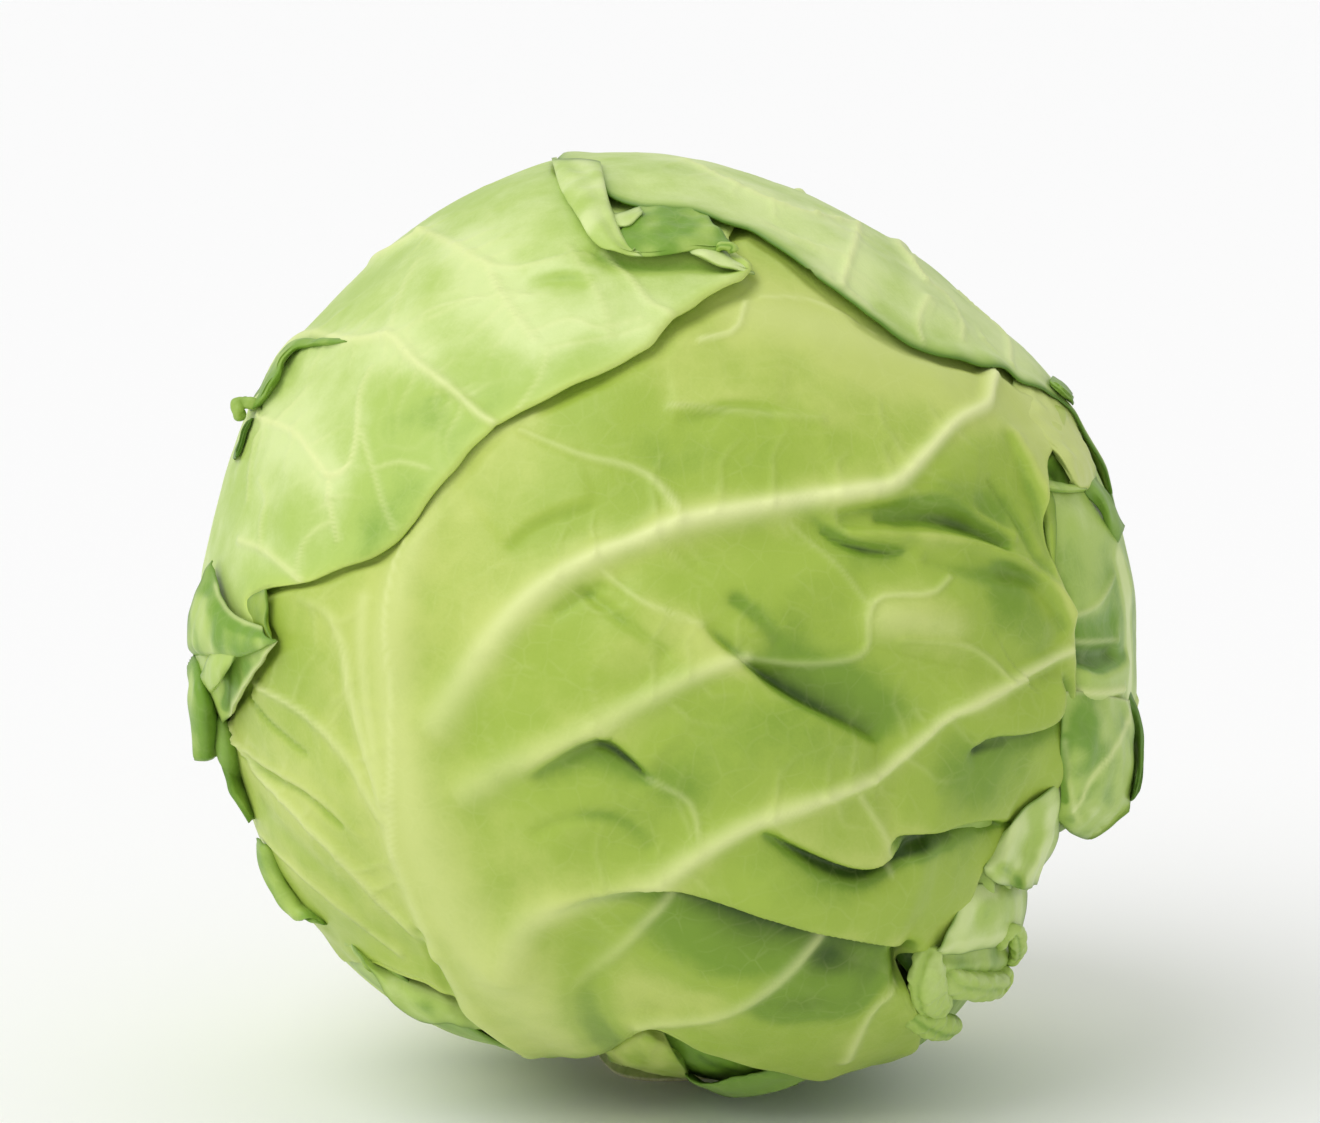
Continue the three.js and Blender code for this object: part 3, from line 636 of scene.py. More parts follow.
def add_lobe(materials, name, slot, tone, path, radii, flat=0.8, groove=2.2, seed=1):
    """A rolled lobe of a leaf's edge: rings carried along a path, round at both ends, creased along
    one side where the roll closes."""
    steps, sides = LOBE_STEPS, LOBE_SIDES
    places = open_curve(path, steps)
    centres, dirs = on_head(places)
    run = unit(np.gradient(centres, axis=0))
    aside = unit(np.cross(dirs, run))
    out = np.cross(run, aside)
    share = np.linspace(0, 1, steps)
    end = np.clip(np.minimum(share, 1 - share) / 0.16, 0, 1)
    size = along(radii, share) * np.sqrt(np.clip(1 - (1 - end) ** 2, 0.003, 1))
    turn = np.arange(sides) * 2 * math.pi / sides
    bend = np.angle(np.exp(1j * (turn - groove)))
    crease = 1 - CREASE_DEPTH * np.exp(-((bend / CREASE_WIDTH) ** 2))
    ring = size[:, None] * crease
    points = centres[:, None] + ring[..., None] * (
        np.cos(turn)[:, None] * aside[:, None] + flat * np.sin(turn)[:, None] * out[:, None]
    )
    flesh = points.reshape(-1, 3)
    middle = np.repeat(centres, sides, 0)
    away = unit(flesh - middle)
    rough = 0.3 * soft_noise(flesh, 5, seed) + 0.18 * soft_noise(flesh, 2.6, seed + 3)
    flesh = flesh + away * rough[:, None]
    flesh[:, 2] = np.maximum(flesh[:, 2], LEAST_LOBE_HEIGHT)
    at = np.arange(steps * sides).reshape(steps, sides)
    right = np.roll(at, -1, 1)
    cells = np.stack([at[:-1], right[:-1], right[1:], at[1:]], -1).reshape(-1, 4)
    faces = np.concatenate([cells[:, [0, 1, 2]], cells[:, [0, 2, 3]]])
    first, last = steps * sides, steps * sides + 1
    start_cap = np.stack([np.full(sides, first), right[0], at[0]], -1)
    end_cap = np.stack([np.full(sides, last), at[-1], right[-1]], -1)
    faces = np.concatenate([faces, start_cap, end_cap])
    points = np.concatenate([flesh, centres[:1], centres[-1:]])
    # Painted shade along the crease where the roll closes.
    dark = 0.3 * np.exp(-((bend / CREASE_WIDTH) ** 2))
    shade = tone + np.concatenate([np.tile(dark, steps), [0, 0]])
    away = net_distance(unit(points - MIDDLE), FLAP_NET_SPACING, seed)
    net = np.exp(-((away / FLAP_NET_LINE) ** 2))
    values = {"vein": net * 0, "net": FLAP_NET_SHARE * net, "tone": shade, "rim": net * 0}
    write_mesh(name, points, faces_out(points, faces), values, materials[slot])


def add_crown(materials):
    """The folded corner at the crown: a tongue of the back leaf, and the left leaf's corner folded
    over so that its underside shows."""
    add_flap(
        materials, "crown_band", "green_leaf", 0.2,
        [
            [
                (-21.8, 93.8, 0), (-19.4, 87.8, 0.4), (-16.6, 83, 0.6), (-13.8, 78.6, 0.6),
                (-10.2, 76.2, 0.6), (-5, 75, 0.5),
            ],
            [
                (-22.6, 93.4, 1.4), (-20.8, 87.4, 2.4), (-17.8, 82.6, 2.6), (-14.8, 77.8, 2.6),
                (-10.6, 75.2, 2.4), (-4.4, 74.2, 1.9),
            ],
            [
                (-20.6, 93.8, 2.4), (-18.2, 88.2, 3.4), (-15.2, 83, 3.6), (-12.4, 78.4, 3.4),
                (-9.4, 75.8, 3), (-5, 74.8, 2.4),
            ],
            [
                (-17, 93.8, 2.3), (-15, 88.6, 3.2), (-13, 83.8, 3.4), (-10.8, 79.2, 3.2),
                (-8.6, 76.6, 2.8), (-5.8, 75.4, 2.3),
            ],
            [
                (-13.2, 93.4, 1.8), (-12.2, 88.6, 2.8), (-11.2, 84.2, 3), (-9.4, 79.8, 3),
                (-7.8, 77, 2.6), (-6.4, 75.6, 2.2),
            ],
            [
                (-13.2, 92.8, 0.2), (-12, 88.2, 0.4), (-10.6, 83.8, 0.5), (-8.8, 79.6, 0.6),
                (-7.4, 77, 0.6), (-6.4, 75.6, 0.6),
            ],
        ],
    )
    add_flap(
        materials, "crown_flap", "green_leaf", 0.85,
        [
            [(-10.2, 76.6, 0.3), (-5, 76, 0.3), (1, 76.4, 0.3), (7, 77.2, 0.3), (11, 77.4, 0.3)],
            [(-11.8, 75.6, 1.5), (-5, 74.2, 1.8), (1.4, 74.6, 1.8), (7.4, 75.6, 1.7), (12.4, 75.2, 1.2)],
            [(-10.6, 77.4, 2.2), (-4.6, 75.8, 2.6), (1.4, 76.2, 2.6), (7.4, 77, 2.4), (13.2, 76.4, 1.8)],
            [(-8.6, 79.8, 1.8), (-4, 78.6, 2.3), (1.4, 78.8, 2.3), (7, 79.4, 2.2), (11.6, 79, 1.6)],
            [(-7, 81.8, 1.4), (-3.4, 81.4, 1.7), (1.4, 81.2, 1.7), (6.4, 81.2, 1.7), (9.4, 81, 1.4)],
            [(-5, 84.2, 0.2), (-2, 84.4, 0.2), (1.4, 84.2, 0.2), (5.4, 83.8, 0.2), (8.2, 83.2, 0.2)],
        ],
    )
    add_flap(
        materials, "crown_lip", "green_leaf", 0.15,
        [
            [(4.2, 76.2, 0.3), (8, 76.8, 0.4), (11.4, 75.4, 0.5), (14.6, 73, 0.5), (17, 71.4, 0.3)],
            [(4.8, 75.4, 1.7), (8.2, 75.4, 2.6), (11.4, 74.2, 2.6), (14.6, 72.6, 2.1), (17.8, 71.2, 1.3)],
            [(5.2, 74.6, 1.6), (8.2, 73.6, 2.2), (11.4, 72.4, 2.2), (14.6, 71.4, 1.8), (18, 70.6, 1.3)],
            [(5.8, 74.6, 0.2), (8.6, 73, 0.1), (11.8, 71.8, 0.1), (14.6, 71.2, 0.1), (17.4, 70.4, 0.1)],
        ],
        cells=(24, 50),
    )
    add_flap(
        materials, "crown_fold", "green_leaf", 0.05,
        [
            [(-10.6, 82.6, 0.4), (-7.8, 83, 0.6), (-5, 83.8, 0.6)],
            [(-10.8, 81.6, 1.8), (-7.6, 81.8, 2.2), (-4.4, 83.2, 2)],
            [(-9.8, 80.2, 1.8), (-7.4, 80.4, 2.2), (-4.6, 82.2, 1.8)],
            [(-8.6, 79.2, 0.4), (-6.8, 80.4, 0.4), (-5, 82, 0.4)],
        ],
        cells=(20, 30),
    )
    add_lobe(
        materials, "crown_curl", "green_leaf", 0.7,
        [(10.2, 75.4, 1.2), (11.4, 76.2, 2.4), (13.2, 76, 2.6), (13.6, 74.8, 1.8)],
        radii=(0.8, 1.0, 0.9),
    )


def add_left_crumple(materials):
    """Where the left leaf's edge is crumpled at the side: pockets, flaps and hanging strips."""
    add_flap(
        materials, "left_roll", "green_leaf", 0.8,
        [
            [
                (-63.4, 56.6, 0.2), (-71.4, 55.4, 0.4), (-75, 53, 0.4), (-77.2, 48.4, 0.4),
                (-80.2, 44, 0.3),
            ],
            [
                (-63.8, 57.2, 1.2), (-72.4, 56.4, 2.4), (-76, 53.8, 3), (-78.4, 48.6, 3),
                (-81.8, 43.8, 2.2),
            ],
            [(-65, 57.8, 1), (-73.6, 57.4, 2.2), (-77.4, 53.8, 3), (-80, 48.6, 3), (-83.2, 43.4, 2)],
            [(-66.6, 57.8, 0), (-75, 56.2, 0.4), (-78.6, 52.6, 0.6), (-81, 47.8, 0.6), (-83, 43.4, 0.4)],
        ],
        cells=(28, 60),
    )
    add_lobe(
        materials, "left_nub", "green_leaf", 0.6,
        [(-80.6, 44.8, 1.2), (-83.4, 44.8, 3.4), (-85, 44.6, 4.6), (-85.4, 43, 4.4), (-84.4, 41.4, 2.6)],
        radii=(1.2, 1.7, 1.6),
    )
    add_flap(
        materials, "left_tag", "deep_green_leaf", 0.9,
        [
            [(-81.8, 41.8, 0.2), (-83.8, 38, 0.4), (-85.2, 34.2, 0.3)],
            [(-82.6, 41.6, 1.6), (-84.6, 38, 2), (-85.8, 34, 1.6)],
            [(-83.2, 41.2, 1.4), (-85.2, 37.4, 1.8), (-86.2, 33.8, 1.4)],
            [(-83.4, 40.6, 0), (-85.4, 37, 0.2), (-86.4, 33.4, 0)],
        ],
        cells=(14, 26), thick=0.7,
    )
    add_flap(
        materials, "left_pocket", "pale_green_leaf", 0.7,
        [
            [(-85.4, 4.2, 0.2), (-85, 2.2, 0.2), (-83.8, -0.2, 0.2), (-82.2, -2.6, 0.2)],
            [(-83, 5.8, 0.8), (-83.4, 3, 0.6), (-82.2, 0.2, 0.6), (-81, -2.6, 0.8)],
            [(-81.4, 7, 1.6), (-81, 4.2, 1.2), (-80.6, 1, 1.4), (-79.8, -2.6, 1.8)],
            [(-80, 7.6, 2.4), (-79.8, 4.2, 2), (-80, 0.6, 2.2), (-78.6, -2.6, 2.6)],
        ],
        cells=(24, 36),
    )
    add_flap(
        materials, "left_flap", "green_leaf", 0.8,
        [
            [(-90.6, 13.4, 1), (-89.6, 8.6, 2), (-87.8, 4.4, 2.2), (-84.8, 1.8, 1.8), (-80.6, 0.2, 1.8)],
            [(-93.4, 8.2, 3), (-91.4, 4.2, 3.6), (-88.8, 1, 3.6), (-85, -1, 3.2), (-80.2, -1.4, 2.8)],
            [(-95.4, 2.2, 3.4), (-92.4, -1, 4.2), (-89, -3, 4), (-84.6, -3.8, 3.6), (-78.6, -2.6, 3.2)],
            [
                (-95.6, -3.4, 3.6), (-92.4, -4.6, 3.8), (-88.8, -5.6, 3.4), (-84.2, -5.6, 3),
                (-77.8, -3, 2.8),
            ],
            [
                (-94.2, -6.2, 1.4), (-91.4, -6.2, 1.6), (-88.2, -6.2, 1.4), (-84.2, -5.8, 1),
                (-79.4, -3.8, 1),
            ],
        ],
        cells=(36, 56),
        strokes=[
            ([(-90.2, 8.4), (-88.2, 4.2), (-85, 1.4), (-80.6, -0.2)], 0.5, 0.5, 0),
            ([(-92, 5.4), (-92.4, -0.6), (-91, -5)], 0.8, 0.15, -0.3),
            ([(-93.8, 5.4), (-94.6, -2.6)], 1.2, 0, -0.3),
            ([(-88.6, 5.4), (-86.6, 0.4), (-80.6, -1.4)], 1.0, 0, 0.4),
        ],
    )
    add_flap(
        materials, "left_lower_flap", "green_leaf", 0.55,
        [
            [
                (-94.6, -3.8, 1.4), (-93.6, -7.4, 2.4), (-92.2, -11.4, 2.6), (-90.4, -15.8, 1.8),
                (-88.6, -19.4, 1.4),
            ],
            [
                (-91.8, -4.6, 1.8), (-90.6, -7.4, 2.8), (-89.8, -11.4, 2.8), (-89.2, -15.4, 2.2),
                (-88.4, -19, 1.8),
            ],
            [
                (-88.6, -5.4, 1.4), (-87.8, -7.8, 1.4), (-87.2, -10.6, 1.4), (-87.6, -14.6, 1.5),
                (-87.6, -18.2, 1.8),
            ],
            [
                (-83.8, -5.4, 1.8), (-84.2, -7.8, 1.8), (-85, -10.2, 1.8), (-86.2, -13.8, 1.9),
                (-87.2, -17.8, 2.1),
            ],
            [
                (-77.6, -2.8, 2.4), (-80, -5.8, 2.6), (-83, -9.8, 2.6), (-85.4, -13.8, 2.4),
                (-87, -17.8, 2),
            ],
        ],
        cells=(36, 48),
        strokes=[
            ([(-78, -3.2), (-80.2, -6.2), (-83.2, -10), (-85.6, -14.2), (-87, -17.8)], 0.6, 0.7, 0),
            ([(-87.8, -7.6), (-86.8, -11.6), (-87.6, -15.8)], 1.2, 0, 0.9),
            ([(-85, -7), (-83.4, -8.2)], 1.6, 0, 0.4),
        ],
    )
    add_flap(
        materials, "left_fold_lobe", "green_leaf", 0.5,
        [
            [(-90.6, -4.2, 2.8), (-88.6, -4.6, 3.2), (-85.8, -5.2, 3)],
            [(-92.2, -7.4, 3.8), (-89.6, -8.2, 4.6), (-86.8, -7.4, 3.6)],
            [(-92.8, -10.2, 3.4), (-90.4, -11.8, 4.6), (-88.2, -10.2, 3)],
            [(-92.6, -11.8, 1.8), (-90.8, -13.4, 2.2), (-89.4, -11.8, 1.6)],
        ],
        cells=(20, 24),
    )
    add_flap(
        materials, "left_hang_back", "green_leaf", 0.8,
        [
            [(-95, -3.4, 1.2), (-95.2, -11.4, 4.6), (-94.4, -20.2, 6.6), (-93.6, -26.6, 7.6)],
            [(-93.4, -4.6, 0.8), (-93, -12.6, 4.2), (-92.2, -21, 5.4), (-91.4, -26.6, 5.6)],
            [(-91.8, -6.6, 0.4), (-90.8, -14.2, 2), (-89.8, -21, 2.6), (-89.4, -25.8, 2.8)],
            [(-89.8, -8.6, -1.8), (-88.2, -15.8, -1.8), (-87, -21.4, -1.8), (-86.2, -25.4, -1.8)],
        ],
        cells=(24, 40),
        strokes=[
            ([(-93, -6.6), (-92, -16.6), (-91.4, -25.8)], 0.8, 0, 0.7),
            ([(-90.6, -12.6), (-90.2, -25.8)], 0.8, 0, 0.8),
        ],
    )
    add_flap(
        materials, "left_hang_front", "deep_green_leaf", 0.6,
        [
            [
                (-90.2, -17, 1.8), (-89.4, -23.6, 3), (-88.2, -30.6, 3.8), (-85.8, -35.4, 3),
                (-83.2, -39.2, 1.6),
            ],
            [
                (-88.6, -17.8, 1), (-87.4, -23.8, 1.6), (-86.2, -30.6, 1.6), (-84.4, -35.2, 1.2),
                (-82.6, -38.6, 0.4),
            ],
            [
                (-85.8, -17.8, -2.6), (-83.8, -24.2, -2.6), (-82.6, -30.6, -2.6), (-81.4, -35, -2.6),
                (-80.2, -38.2, -2.2),
            ],
        ],
        cells=(24, 44),
    )
    add_flap(
        materials, "left_hang_low", "green_leaf", 0.8,
        [
            [
                (-81.6, -42.2, 0.8), (-80.6, -49, 2.8), (-77, -55.4, 3.4), (-73.4, -58, 2.4),
                (-69.8, -58.8, 1.4),
            ],
            [
                (-79.8, -43.4, 0.4), (-77.8, -49.4, 1.2), (-74.6, -54.6, 1.4), (-71.8, -57.4, 1.2),
                (-68.2, -59.8, 0.8),
            ],
            [
                (-77.4, -44.2, -2.6), (-74.6, -49.4, -2.6), (-71.8, -53.8, -2.6), (-69.4, -55.8, -2.6),
                (-66.2, -58.6, -2.2),
            ],
        ],
        cells=(20, 44),
    )
    add_flap(
        materials, "left_foot_fold", "green_leaf", 0.42,
        [
            [(-65, -60.6, -1.8), (-56, -67, -1.6), (-45.8, -71.4, -1.6), (-37, -75.8, -1.6)],
            [(-62.6, -63.4, 0.4), (-54.6, -69.4, 0.6), (-44.6, -74.2, 0.4), (-35.4, -78.6, -0.6)],
            [(-59.4, -67.8, 2.4), (-52.6, -73.8, 2.8), (-43, -77.4, 1.8), (-35, -80.2, -0.4)],
            [(-56.2, -73.4, 3.6), (-49.8, -78.4, 3.2), (-41.8, -79.6, 2), (-35, -81, -0.8)],
        ],
        cells=(30, 50), thick=1.2,
    )


def add_low_right(materials):
    """The crumpled edge low on the right: hooks, panels and rolled lobes."""
    add_flap(
        materials, "low_hook", "green_leaf", 0.22,
        [
            [(79.8, -28.6, -1), (79.4, -34.6, 0.6), (78.2, -42.6, 2.4), (74.2, -51.4, 3.2)],
            [(77, -32.6, 1.2), (77, -37.6, 2.6), (75.8, -44.6, 4), (72.2, -52.6, 4.2)],
            [(73, -35.6, 1.4), (73, -40.2, 1.8), (71.8, -45.8, 1.8), (69.4, -51.8, 2.2)],
            [(69.4, -39, 1.2), (69.4, -43, 2.4), (67.8, -47.8, 3), (66.6, -51.4, 2.8)],
            [(67, -41.6, -0.6), (65, -45.8, 0.2), (63.8, -48.2, 0.6), (64.2, -49.8, 0.6)],
        ],
        cells=(48, 48),
        strokes=[
            ([(77.4, -33.6), (76.6, -42.6), (73, -51.6)], 1.4, 0, -0.2),
            ([(73.8, -35.8), (73.8, -42.6), (71, -51.4)], 1.6, 0, 0.3),
            ([(67.8, -48.2), (69.8, -49.8), (71.4, -51.8)], 1.2, 0, 0.5),
            ([(70.2, -39), (67, -44.6), (65, -48.2)], 0.8, 0, -0.2),
        ],
    )
    add_flap(
        materials, "low_panel", "green_leaf", 0.3,
        [
            [(62, -51.4, -0.4), (66, -51.4, 0.4), (69.4, -51.4, 0.8), (72.2, -51.4, 0.8)],
            [(59.4, -55.6, 0.8), (64, -55, 1.8), (68.6, -54.6, 2.4), (72.4, -53.8, 2)],
            [(57.4, -59.6, 1.6), (63, -59, 2.6), (68.2, -57.8, 3.2), (72.2, -57, 2.6)],
            [(55, -64.2, 2.4), (61, -63.4, 3.4), (67, -61.8, 3.8), (71.4, -60.6, 3.2)],
            [(53, -66.2, 1.2), (60, -65.2, 2.2), (67, -63.8, 2.4), (71, -62.2, 2)],
        ],
        cells=(40, 48),
        strokes=[
            ([(65, -51.8), (62, -55.6), (58, -61.6)], 1.4, 0, -0.2),
            ([(67.8, -53.2), (64, -57.2), (60.6, -62.2)], 1.8, 0, 0.2),
            ([(54, -64.8), (60, -63.8), (67, -62.2), (71, -60.6)], 0.8, 0.1, -0.3),
        ],
    )
    add_lobe(
        materials, "low_ring", "green_leaf", 0.45,
        [
            (67, -64.2, 2.2), (68.2, -61.8, 3.4), (69.8, -60.6, 4), (70.8, -62.6, 4.2),
            (70.4, -66.2, 3.6), (68.6, -68.2, 2.6),
        ],
        radii=(1.2, 1.5, 1.6, 1.3),
    )
    add_flap(
        materials, "low_tuck", "green_leaf", 0.65,
        [
            [(56.2, -64.2, 0.6), (61, -63.4, 0.8), (66.2, -62.6, 0.8), (69.8, -62.6, 0.6)],
            [(55.4, -66.2, 1.6), (61, -65.8, 1.4), (66.2, -65, 1.6), (70.6, -64.6, 2)],
            [(55.4, -68.4, 3), (60.6, -68.4, 2.8), (65.8, -67.8, 2.8), (70.2, -67, 3)],
            [(55.8, -70.6, 1.6), (60.8, -71, 2), (65.8, -70.2, 2.6), (69.4, -69.4, 3.2)],
        ],
        cells=(30, 44),
    )
    add_lobe(
        materials, "low_lobe_upper", "green_leaf", 0.4,
        [(55, -68.2, 1), (57.4, -71, 2.6), (62, -71.8, 3.2), (66.6, -71.4, 3.4), (69.8, -69, 3.2)],
        radii=(2.2, 3.0, 3.2, 3.2, 2.6), groove=1.2, seed=4,
    )
    add_lobe(
        materials, "low_lobe_middle", "green_leaf", 0.4,
        [
            (53.4, -63.4, -0.5), (52.6, -67.8, 1.4), (52.6, -72.2, 2.4), (53.8, -75.4, 2.4),
            (55.8, -76.6, 1.6),
        ],
        radii=(3.0, 3.8, 4.0, 3.4, 2.4), flat=0.7, groove=2.6, seed=7,
    )
    add_lobe(
        materials, "low_lobe_lower", "green_leaf", 0.55,
        [(48.6, -76.6, -0.5), (51.4, -78.6, 1.4), (54.6, -79.8, 2.2), (57.8, -80.2, 2.2)],
        radii=(2.2, 3.0, 3.2, 2.6), groove=1.6, seed=9,
    )


def add_right_edge(materials):
    """The folded margins on the right: the front leaf's corner over a pocket, the back leaf's tip
    and the bulge of the right leaf with a leaf's dark edge behind it."""
    add_flap(
        materials, "right_corner", "pale_green_leaf", -0.1,
        [
            [(70.2, 52.2, -0.8), (75, 50.2, -0.6), (78.6, 47.4, -0.4), (81, 44.4, -0.4)],
            [(69.4, 46.2, -1), (75, 45, 0.2), (79.8, 42.6, 0.5), (83, 39.4, 0.3)],
            [(70.6, 39.4, -1), (76.6, 38.6, 0.7), (81.8, 37.4, 1.2), (84.8, 35, 0.8)],
            [(76.2, 36.2, -0.6), (79.4, 34.2, 1.8), (83.4, 33, 2), (86.2, 31, 1.2)],
            [(80.6, 30.2, 1), (82.2, 29.2, 1.8), (83.8, 28.6, 1.8), (86.2, 28.6, 1)],
            [(80.8, 28.6, 0.2), (82.2, 27.6, 0.5), (83.4, 27.2, 0.5), (85.2, 27.2, 0.2)],
        ],
        cells=(40, 40),
        strokes=[([(73, 47.4), (79, 39.4), (83.8, 30.2)], 6, 0.3, 0)],
    )
    add_flap(
        materials, "right_fold", "pale_green_leaf", 0.4,
        [
            [(73.8, 28.2, -0.8), (75.4, 22.4, -0.5), (76.4, 16.4, -0.4), (77, 11, -0.6)],
            [(75, 28.2, 0.2), (76.6, 23, 0.5), (77.4, 17, 0.5), (77.6, 10.6, 0.2)],
            [(77, 27.8, 0.4), (78.2, 23, 0.8), (78.4, 16.6, 0.8), (78, 10.4, 0.4)],
        ],
        cells=(18, 44),
    )
    add_flap(
        materials, "right_corner_lip", "green_leaf", 0.7,
        [
            [(74.4, 29.8, 0.2), (77, 29.4, 0.9), (80.2, 28.8, 1.2), (83.8, 28.2, 0.9)],
            [(74.4, 28.6, 1), (77, 28, 1.9), (80.2, 27.6, 2), (84.6, 27.6, 1.4)],
            [(74.8, 27.6, 0.2), (77, 27, 0.5), (80.2, 26.8, 0.6), (83.8, 27, 0.4)],
        ],
        cells=(18, 30),
    )
    add_flap(
        materials, "back_tip", "deep_green_leaf", 0.6,
        [
            [(85.8, 31, 0.8), (88.2, 27.4, 2.2), (90.2, 23.8, 2.8), (92, 20.2, 2.8)],
            [(85, 29.4, 1.2), (87.2, 25.8, 2.4), (89.2, 22.2, 2.8), (91.4, 18.6, 2.4)],
            [(84, 27, 0.2), (86.4, 23.6, 0.6), (88.4, 19.8, 0.8), (90.4, 16.2, 0.6)],
        ],
        cells=(18, 40),
    )
    add_flap(
        materials, "back_tag", "deep_green_leaf", 0.6,
        [
            [(77.4, 50.2, 0.4), (79.4, 49, 1.4), (81.4, 47, 1.8)],
            [(77, 49.4, 1.2), (79, 47.8, 2.4), (81.6, 45.4, 2.6)],
            [(77, 48.2, 0.2), (79, 46.6, 0.6), (81.4, 44.2, 1.2)],
        ],
        cells=(14, 18),
    )
    add_flap(
        materials, "right_bulge", "green_leaf", 0.62,
        [
            [(79.8, -13, 0.2), (79.4, -20.6, 0.6), (79, -28.6, 0.8), (78.6, -39, 1.5)],
            [(83.4, -12.8, 1), (83, -20.6, 2.2), (81.8, -30.6, 3.4), (81.4, -41.4, 4)],
            [(87.4, -13.4, 1.4), (87.8, -20.6, 3), (87, -30.6, 5), (85.4, -42.6, 6)],
            [(91, -14.2, 1.4), (91.8, -20.2, 2.8), (91.4, -30.6, 5.4), (89.2, -40.6, 7.4)],
            [(93, -14.6, 1.2), (93.6, -20.6, 2.4), (93.8, -29.6, 5), (93, -37, 8.2)],
        ],
        cells=(36, 44),
        strokes=[
            ([(79.8, -13), (83.4, -12.8), (87.4, -13.4), (93, -14.6)], 0.6, 0.5, 0),
            ([(82, -37), (85.6, -30.6), (89.4, -25.6), (92, -20.6), (93.8, -14.6)], 0.5, 0.6, -0.2),
            ([(84, -18.6), (85, -26.6)], 3, 0, 0.3),
            ([(80.2, -22.6), (79.8, -34.6)], 1.0, 0, 0.6),
            ([(80.2, -23), (81, -32.6), (83, -38.6)], 0.7, 0.3, -0.3),
            ([(85, -37), (89.4, -37.6), (92.6, -34.6)], 1.6, 0, -0.3),
        ],
    )
    add_flap(
        materials, "right_dark_edge", "deep_green_leaf", 0.9,
        [
            [(91, -12.6, -0.8), (92.2, -18.6, 0), (93, -26.6, 1.4), (92.2, -35.8, 5)],
            [(92.6, -12.6, 0), (94.2, -17.6, 2), (94.8, -25.6, 4.2), (93.6, -34.6, 7.6)],
            [(93.2, -12.6, 0.2), (95.2, -17.6, 2.8), (96, -24.6, 5), (94.6, -32.6, 7.4)],
        ],
        cells=(20, 36),
    )


def add_foot(materials):
    """What shows under the front leaf: the stub of a leaf that was trimmed off, and a dark sheet that
    stands in for the shade there.
    """
    add_flap(
        materials, "foot_shade_sheet", "green_leaf", 1.1,
        [
            [(-1, -80.6, -4), (5.4, -83.4, -3.4), (13.4, -86.2, -3), (24.2, -88.2, -2.6)],
            [(2.2, -85.8, -2.4), (7.4, -87.8, -1.8), (15.4, -90.2, -1.4), (25.4, -91.4, -1.2)],
            [(5, -90.6, -2.2), (10.2, -92.2, -1.6), (17.4, -93.6, -1.4), (27.4, -94, -1.4)],
        ],
        cells=(24, 40), thick=1.0,
        strokes=[
            ([(7, -85.8), (15, -89), (25, -90.6)], 0.8, 0, 0.5),
            ([(11, -90.2), (19, -92.2)], 0.6, 0.2, -0.3),
        ],
    )
    add_flap(
        materials, "trimmed_stub", "pale_green_leaf", 0.25,
        [
            [(-11.8, -83.8, -4), (-8.6, -81.4, -3.4), (-4.6, -79.4, -3), (-0.2, -81, -3.2)],
            [(-12.2, -85.2, -2), (-7.8, -83.8, -0.8), (-3, -82.6, -0.6), (1.8, -85, -1.2)],
            [(-11, -87, -1.6), (-6.6, -87, 0.2), (-1.4, -87, 0.2), (3.8, -88.2, -0.6)],
            [(-9.4, -88.2, -2.6), (-5, -89.4, -1.2), (-0.2, -90.6, -1), (5.8, -91.4, -1.6)],
        ],
        cells=(24, 30), thick=2.4,
    )


# ---------------------------------------------------------------- the lines of each leaf


